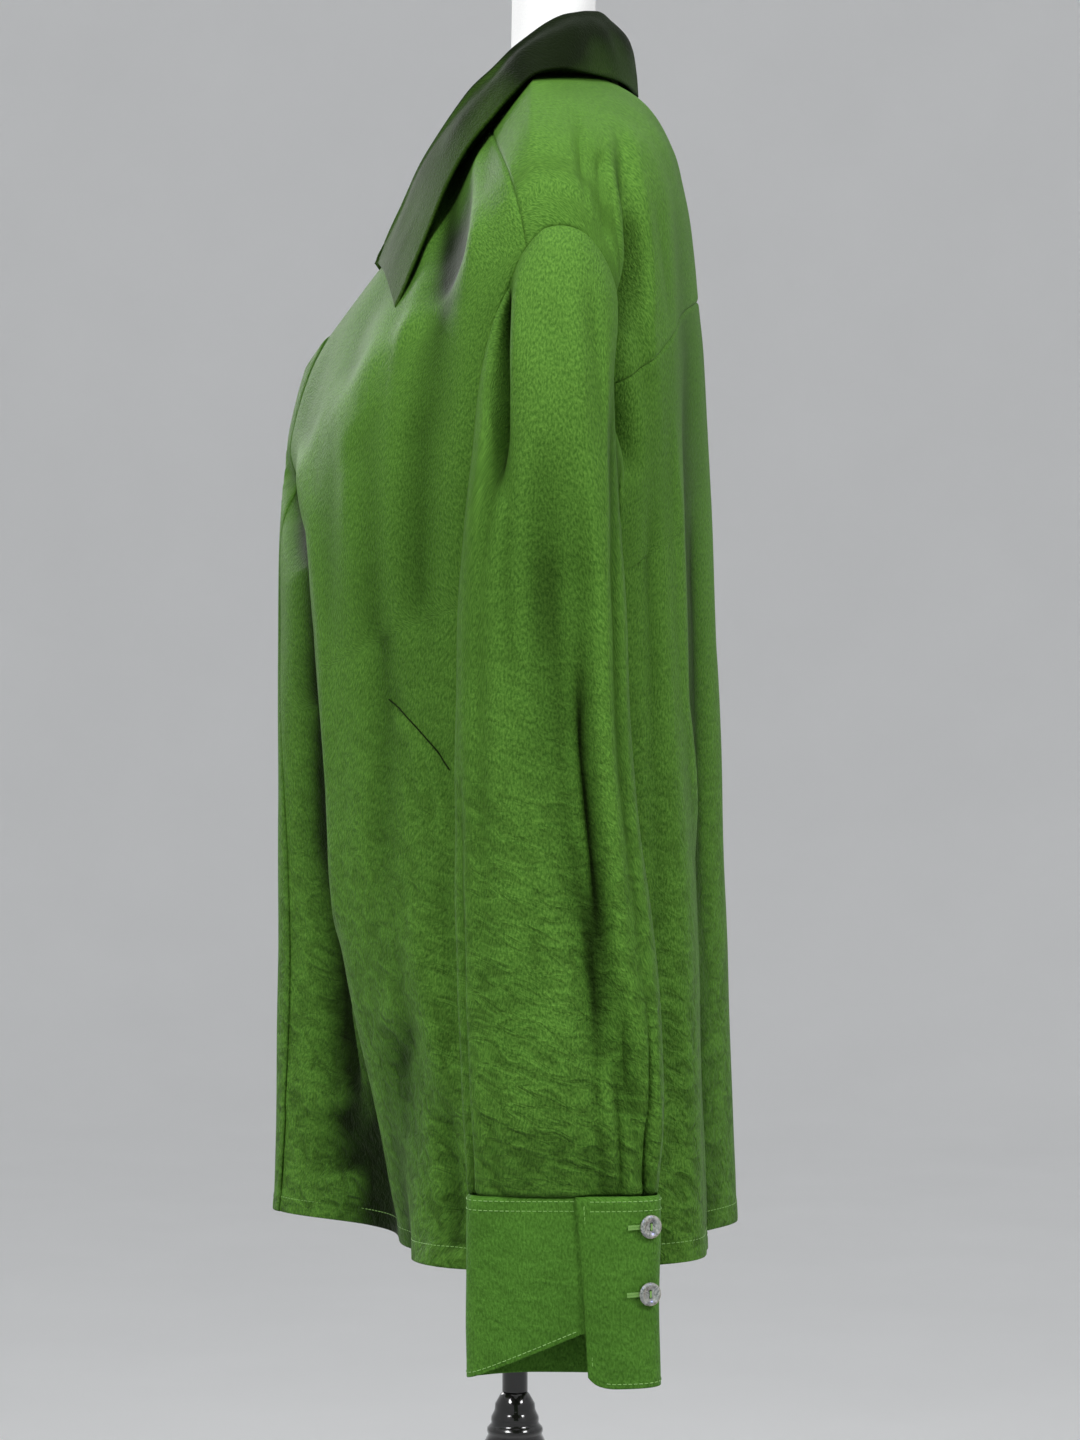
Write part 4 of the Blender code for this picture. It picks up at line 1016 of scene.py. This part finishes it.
def sleeve_surface(side):
    def surface(down, over):
        """Down from the armhole to the cuff, over once round from the seam under the arm."""
        points = eased(sleeve_shape(2 * down - 1, 360 * over - 180), 7)
        return points * (side, 1, 1)

    return surface


for hand, side in (("left", 1), ("right", -1)):
    turns = np.linspace(0, 1, SLEEVE_COLUMNS)
    shape = grid_piece(
        crowded(SLEEVE_ROWS, 0.60),
        turns if side > 0 else turns[::-1],
        sewn(sleeve_surface(side), ("", "", "seam", "seam"), waves=(0.022, 0.0012, 5.0 + side)),
        close_over=True,
    )
    sleeve = cloth_piece(f"sleeve_{hand}_satin", shape, green_satin, [f"sleeve_{hand}"])


# The cuffs: deep, straight and soft, in doubled satin, wrapped round so that the buttonhole end
# lies over the button end on the outer side. They are edge-stitched in thread of the same green.

CUFF_TOP = 0.7320
CUFF_CENTRE, CUFF_HALF = (0.2530, 0.0268), (0.0125, 0.0480)
CUFF_FLATNESS = 0.60
CUFF_START, CUFF_END, CUFF_SPIRAL = 4.0, 408.0, 0.0024
CUFF_CLIMB = ((0.6370, -0.0212), (0.6607, 0.0365))
CUFF_BOTTOM = table(
    "turn height",
    (4.0, 0.6450),
    (5.0, 0.6415),
    (7.0, 0.6380),
    (10.0, 0.6350),
    (15.0, 0.6332),
    (24.0, 0.6325),
    (90.0, 0.6330),
    (180.0, 0.6360),
    (270.0, 0.6370),
    (364.0, 0.6607),
    (395.0, 0.6660),
    (403.0, 0.6680),
    (406.0, 0.6700),
    (408.0, 0.6740),
)


def cuff_line(turn):
    """The cuff's inner face in plan on the left, and the way out from it."""
    off = (CUFF_SPIRAL * (CUFF_END - turn) / (CUFF_END - CUFF_START))[..., None]
    x, y = flat_round(CUFF_CENTRE, CUFF_HALF, turn, CUFF_FLATNESS)
    low = flat_round(CUFF_CENTRE, CUFF_HALF, turn - 2, CUFF_FLATNESS)
    high = flat_round(CUFF_CENTRE, CUFF_HALF, turn + 2, CUFF_FLATNESS)
    out = unit(np.stack([high[1] - low[1], low[0] - high[0], 0 * turn], axis=-1))
    return np.stack([x, y, 0 * turn], axis=-1) + out * off, out


def cuff_bottom(turn):
    """Height of the lower edge; it climbs in a straight line across the outer side."""
    height = read(CUFF_BOTTOM, "height", turn)
    (low, front), (high, lapped) = CUFF_CLIMB
    y = cuff_line(turn)[0][..., 1]
    climbing = low + (high - low) * (y - front) / (lapped - front)
    return np.where((turn > 270) & (turn < 364), climbing, height)


def cuff_shape(down, turn):
    down, turn = np.broadcast_arrays(np.asarray(down, float), np.asarray(turn, float))
    points, out = cuff_line(turn)
    points = points.copy()
    points[..., 2] = CUFF_TOP + (cuff_bottom(turn) - CUFF_TOP) * down
    return points


CUFF_ROWS, CUFF_COLUMNS = 60, 220
CUFF_THICK = 0.0012
STITCH_LENGTH, STITCH_STEP, STITCH_RADIUS = 0.0019, 0.0028, 0.00022
STITCH_REACH = 0.0008


def cuff_start(down):
    """The buttonhole end leans back a little towards its lower corner."""
    return 2.0 + 4.5 * down


def cuff_surface(side):
    def surface(down, over):
        """Down from the sleeve's gathers; over from the buttonhole end to the button end."""
        start = cuff_start(down)
        turn = start + (CUFF_END - start) * over
        points = cuff_shape(down, turn)
        soft = 0.0008 * np.sin(np.radians(3.1 * turn + 40)) * np.sin(np.pi * np.clip(down, 0, 1))
        points = points + cuff_line(turn)[1] * soft[..., None]
        return points * (side, 1, 1)

    return surface


def rod(shape, sides, radius, length, placed):
    """A short round rod added to a mesh."""
    bmesh.ops.create_cone(
        shape,
        cap_ends=True,
        segments=sides,
        radius1=radius,
        radius2=radius,
        depth=length,
        matrix=placed,
    )


def stitches(name, runs, material, step=STITCH_STEP, length=STITCH_LENGTH, radius=STITCH_RADIUS):
    """Small thread stitches along runs of points, each with the way out from the cloth."""
    shape = bmesh.new()
    for points, out in runs:
        steps = np.r_[0, np.cumsum(np.linalg.norm(np.diff(points, axis=0), axis=1))]
        for at in np.arange(step / 2, steps[-1], step):
            behind, middle, ahead = (
                Vector([np.interp(at + off, steps, points[:, k]) for k in range(3)])
                for off in (-STITCH_REACH, 0.0, STITCH_REACH)
            )
            along = (ahead - behind).to_track_quat("Z", "Y").to_matrix().to_4x4()
            lifted = middle + Vector([np.interp(at, steps, out[:, k]) for k in range(3)])
            rod(shape, 6, radius, length, Matrix.Translation(lifted) @ along)
    return place_piece(name, shape, material, sharp=60)


# Polyester sewing thread, dyed to the cloth: round, smooth and a little lighter than it, with a
# twist of about two turns to the millimetre.
THREAD_TWIST = 1 / 2200
green_thread, tree, shader = new_material(
    "green_polyester_thread", {"Roughness": 0.45, "Sheen Weight": 0.2}
)
place = add_node(tree, "ShaderNodeTexCoord").outputs["Object"]
twist = cloudy(tree, place, THREAD_TWIST, 1.0)
shade = mixed(tree, twist, colour("#5C8A3A"), colour("#86B25C"))
tree.links.new(shade, shader.inputs["Base Color"])
tree.links.new(bumped(tree, twist, 0.4, 0.0001), shader.inputs["Normal"])

cuff_satin = satin("doubled_satin_of_the_cuffs", "#3A6120", "#4C782D", 0.54, 0.04, 0.35)
for hand, side in (("left", 1), ("right", -1)):
    round_it = crowded(CUFF_COLUMNS, 0.29)
    shape = grid_piece(
        crowded(CUFF_ROWS, 0.095),
        round_it if side > 0 else round_it[::-1],
        sewn(cuff_surface(side), ("", "", "seam", ""), waves=(0.018, 0.0007, 9.0 + side)),
    )
    cloth_piece(f"cuff_{hand}_satin", shape, cuff_satin, [f"cuff_{hand}"], CUFF_THICK)


# The cuffs' buttons: two-hole shell, grey with a pink and green sheen, dished in the middle and
# sewn on with green thread, and the buttonholes worked in the same thread beside them.

BUTTON_THICK = 0.0020
BUTTON_PLACES = ((58.0, 0.7165), (57.0, 0.6815))
HOLE_RADIUS, HOLE_APART = 0.00085, 0.0030
BUTTON_LINE = (
    (0.0, 0.0002), (0.0028, 0.0002), (0.0036, 0.0004), (0.0042, 0.0009), (0.0050, 0.0010),
    (0.0057, 0.0008), (0.0061, 0.0003), (0.0062, -0.0002), (0.0060, -0.0007), (0.0054, -0.0010),
    (0.0, -0.0010),
)
BUTTONHOLE_LONG, BUTTONHOLE_WIDE, BUTTONHOLE_OFFSET = 0.0150, 0.0013, 0.0055
BUTTONHOLE_STEP, BUTTONHOLE_STITCH, BUTTONHOLE_UNDER = 0.0006, 0.0011, 0.0016
THREAD_RADIUS, BUTTON_LIFT, SHELL_LAYER = 0.00028, 0.0007, 1 / 260
# Topstitching: two rows under the top edge and one along the lower edge and the buttonhole end,
# which stop where the outer layer ends. Depths are in metres, the rest in degrees round the cuff.
TOP_STITCH_ROWS, EDGE_STITCH_UP = (0.0022, 0.0072), 0.0025
EDGE_STITCH_IN, LAP_END = 2.6, 362.0

# Mother-of-pearl: polished slices of shell in thin layers, so the grey is clouded and the gloss
# has a faint colour of its own.
pearl, tree, shader = new_material(
    "grey_mother_of_pearl",
    {"Roughness": 0.22, "IOR": 1.53, "Coat Weight": 0.3, "Thin Film Thickness": 340.0},
)
place = add_node(tree, "ShaderNodeTexCoord").outputs["Object"]
layers = cloudy(tree, place, SHELL_LAYER, 4.0, Distortion=2.5)
cloud = add_node(tree, "ShaderNodeValToRGB", {0: layers})
cloud.color_ramp.elements[0].position, cloud.color_ramp.elements[1].position = 0.35, 0.65
cloud.color_ramp.elements[0].color = colour("#5B6059")
cloud.color_ramp.elements[1].color = colour("#A0A39A")
tree.links.new(cloud.outputs[0], shader.inputs["Base Color"])
tree.links.new(bumped(tree, layers, 0.12, 0.0002), shader.inputs["Normal"])


def shell_button(name, middle, facing, replaced):
    """A turned disc with two drilled holes; gives back where it lies."""
    shape = spun(BUTTON_LINE, 40)
    turned = Matrix.Translation(middle) @ facing.to_track_quat("Z", "Y").to_matrix().to_4x4()
    bmesh.ops.transform(shape, matrix=turned, verts=shape.verts)
    disc = place_piece(name, shape, pearl, [replaced], sharp=60)
    drill = bmesh.new()
    for way in (-1, 1):
        drilled_at = turned @ Matrix.Translation((0, way * HOLE_APART / 2, 0))
        rod(drill, 16, HOLE_RADIUS, 3 * BUTTON_THICK, drilled_at)
    mesh = bpy.data.meshes.new("drill")
    drill.to_mesh(mesh)
    drill.free()
    cutter = bpy.data.objects.new("drill", mesh)
    bpy.context.scene.collection.objects.link(cutter)
    holes = disc.modifiers.new("holes", "BOOLEAN")
    holes.object = cutter
    holes.solver = "EXACT"
    drilled = bpy.data.meshes.new_from_object(
        disc.evaluated_get(bpy.context.evaluated_depsgraph_get())
    )
    disc.modifiers.clear()
    disc.data = drilled
    bpy.data.objects.remove(cutter)
    return turned


def thread_stay(shape, turned):
    """The thread through a button's two holes."""
    lying = Matrix.Rotation(math.pi / 2, 4, "X")
    for way in (-1, 1):
        beside = Matrix.Translation((way * 0.00025, 0, 0.00055))
        rod(shape, 8, THREAD_RADIUS, HOLE_APART + 0.0004, turned @ beside @ lying)


def buttonhole(shape, middle, facing, side):
    """Two close rows of short stitches round a slit, level, beside and under the button."""
    level = Vector((0, 0, 1)).cross(facing).normalized() * side
    for row in (-1, 1):
        for k in range(int(BUTTONHOLE_LONG / BUTTONHOLE_STEP)):
            along = level * (BUTTONHOLE_LONG / 2 - BUTTONHOLE_STEP * k - BUTTONHOLE_OFFSET)
            beside = Vector((0, 0, row * BUTTONHOLE_WIDE / 2))
            at = Matrix.Translation(middle - facing * BUTTONHOLE_UNDER + along + beside)
            rod(shape, 5, THREAD_RADIUS, BUTTONHOLE_STITCH, at)


for hand, side in (("left", 1), ("right", -1)):
    sewn_on = bmesh.new()
    for number, (turn, height) in enumerate(BUTTON_PLACES, 1):
        point, out = cuff_line(np.array(turn))
        facing = Vector(out * (side, 1, 1))
        off = CLOTH + BUTTON_LIFT + BUTTON_THICK / 2
        middle = Vector(point * (side, 1, 1)) + facing * off
        middle.z = height
        turned = shell_button(
            f"cuff_button_{hand}_{number}_pearl", middle, facing, f"cuff_button_{hand}_{number}"
        )
        thread_stay(sewn_on, turned)
        buttonhole(sewn_on, middle, facing, side)
    place_piece(f"cuff_{hand}_thread", sewn_on, green_thread, sharp=60)

    across = np.linspace(CUFF_START + 3, LAP_END, 400)
    below = np.linspace(CUFF_START + 12, LAP_END, 400)
    downs = np.linspace(0.04, 0.88, 60)
    rows = [(across, 0 * across + CUFF_TOP - up) for up in TOP_STITCH_ROWS]
    rows.append((below, cuff_bottom(below) + EDGE_STITCH_UP))
    lowest = CUFF_BOTTOM["height"].min() + 0.0005
    rows.append((cuff_start(downs) + EDGE_STITCH_IN, CUFF_TOP + (lowest - CUFF_TOP) * downs))
    runs = []
    for turns, heights in rows:
        points, out = cuff_line(turns)
        points[:, 2] = heights
        runs.append((points * (side, 1, 1), out * (side, 1, 1) * (CLOTH + 0.0001)))
    stitches(f"cuff_{hand}_topstitch", runs, green_thread)


# Lines sewn through the cloth: the slanting dart of each front, a fold stitched down inside that
# shows as a fine dark line of painted shade, and the row of stitches that holds each turned hem.
DART_STEP, DART_LENGTH, DART_RADIUS, DART_LIFT = 0.0010, 0.0014, 0.00050, 0.0009
HEM_STITCH_ALONG, HEM_STITCH_UP, HEM_STITCH_LIFT = 0.989, 0.0068, 0.0004
HEM_STITCH_PLACES, DART_PLACES = 900, 60


def on_the_cloth(along, angle, lift, near_edge=1.0):
    """Places on the outer face of the body's cloth, and the way out from them."""
    points, out = body_shape(along, angle), away(body_shape, along, angle)
    height = CLOTH_MIDDLE + lift + near_edge * ripples(points, *BODY_WAVES)
    return points + out * height[..., None], 0 * out


# The dart's dark line is painted shade: a near-black copy of the satin laid along the seam.
dart_painted_shade = satin("painted_shade_of_the_dart_seam", "#0B1405", "#111D08", 0.60, 0.05, 0.0)
share = np.linspace(0, 1, DART_PLACES)
knots = np.linspace(0, 1, len(DART))
dart_row = [places for places, *rest in BODY_CREASES].index(DART)
down, across = np.array(BODY_LINES[dart_row][0]).T
along = np.interp(share, knots, down / BODY_ALONG_SIZE)
angle = np.interp(share, knots, across / BODY_DEGREE_SIZE)
for hand, side in (("left", 1), ("right", -1)):
    runs = [on_the_cloth(along, side * angle, DART_LIFT)]
    stitches(f"front_{hand}_dart", runs, dart_painted_shade, DART_STEP, DART_LENGTH, DART_RADIUS)
angle = np.linspace(-174, 174, HEM_STITCH_PLACES)
near = smooth_step(np.array(HEM_STITCH_UP / WAVES_FADE))
runs = [on_the_cloth(0 * angle + HEM_STITCH_ALONG, angle, HEM_STITCH_LIFT, near)]
stitches("hem_stitches", runs, green_thread)


# The studio: a pale floor that curves up all round, soft light from two large panels and from
# above, and the camera on the blouse's left side, level with its middle.

STAGE_FLAT, STAGE_RADIUS, STAGE_HEIGHT, FLOOR_PATCH = 6.0, 7.5, 5.5, 1 / 3
pale_floor, tree, shader = new_material("pale_studio_floor", {"Roughness": 0.9})
place = add_node(tree, "ShaderNodeTexCoord").outputs["Object"]
speckle = cloudy(tree, place, FLOOR_PATCH, 3.0)
pale = mixed(tree, speckle, colour("#F4F4F4"), colour("#FAFAFA"))
tree.links.new(pale, shader.inputs["Base Color"])
bend = [(0.0, 0.0), (STAGE_FLAT / 2, 0.0), (STAGE_FLAT, 0.0)]
rise = STAGE_RADIUS - STAGE_FLAT
bend += [
    (STAGE_FLAT + rise * math.sin(a), rise - rise * math.cos(a))
    for a in np.radians((15, 30, 45, 60, 75, 90))
]
bend.append((STAGE_RADIUS, STAGE_HEIGHT))
floor = spun(bend, 64, closer=1e-5)
mesh = bpy.data.meshes.new("studio_floor")
floor.to_mesh(mesh)
floor.free()
mesh.shade_smooth()
mesh.materials.append(pale_floor)
studio = bpy.data.objects.new("studio_floor", mesh)
bpy.context.scene.collection.objects.link(studio)

LIGHTS = (
    # name, place, what it faces, size, watts, spread
    ("panel_front", (2.0, -1.4, 2.9), (0.0, 0.0, 1.2), 1.1, 9.0, 60.0),
    ("panel_back", (1.7, 1.9, 2.8), (0.0, 0.0, 1.2), 1.0, 8.0, 60.0),
    ("panel_far", (-3.0, -1.8, 2.2), (0.0, 0.0, 1.0), 1.4, 3.5, 60.0),
    ("panel_above", (0.5, -0.4, 3.8), (0.0, 0.0, 1.0), 1.4, 4.0, 60.0),
)
for name, spot, aim, size, watts, spread in LIGHTS:
    lamp = bpy.data.lights.new(name, "AREA")
    lamp.shape = "DISK"
    lamp.size = size
    lamp.energy = watts
    lamp.spread = math.radians(spread)
    holder = bpy.data.objects.new(name, lamp)
    holder.location = spot
    holder.rotation_euler = (Vector(aim) - Vector(spot)).to_track_quat("-Z", "Y").to_euler()
    bpy.context.scene.collection.objects.link(holder)

world = bpy.data.worlds.new("studio_air")
bpy.context.scene.world = world
world.use_nodes = True
air = world.node_tree.nodes["Background"]
air.inputs["Color"].default_value = colour("#F2F4F6")
air.inputs["Strength"].default_value = 0.60
bpy.context.scene.view_settings.view_transform = "Standard"

FILM = 36.0
lens = bpy.data.cameras.new("photo_camera")
lens.sensor_fit = "VERTICAL"
lens.sensor_height = FILM
lens.lens = PIXELS_PER_RADIAN / PICTURE_HEIGHT * FILM
lens.clip_start = 0.05
camera = bpy.data.objects.new("photo_camera", lens)
camera.location = (CAMERA_DISTANCE, CAMERA_SIDE, CAMERA_HEIGHT)
camera.rotation_euler = (math.pi / 2, 0.0, math.pi / 2)
bpy.context.scene.collection.objects.link(camera)
bpy.context.scene.camera = camera
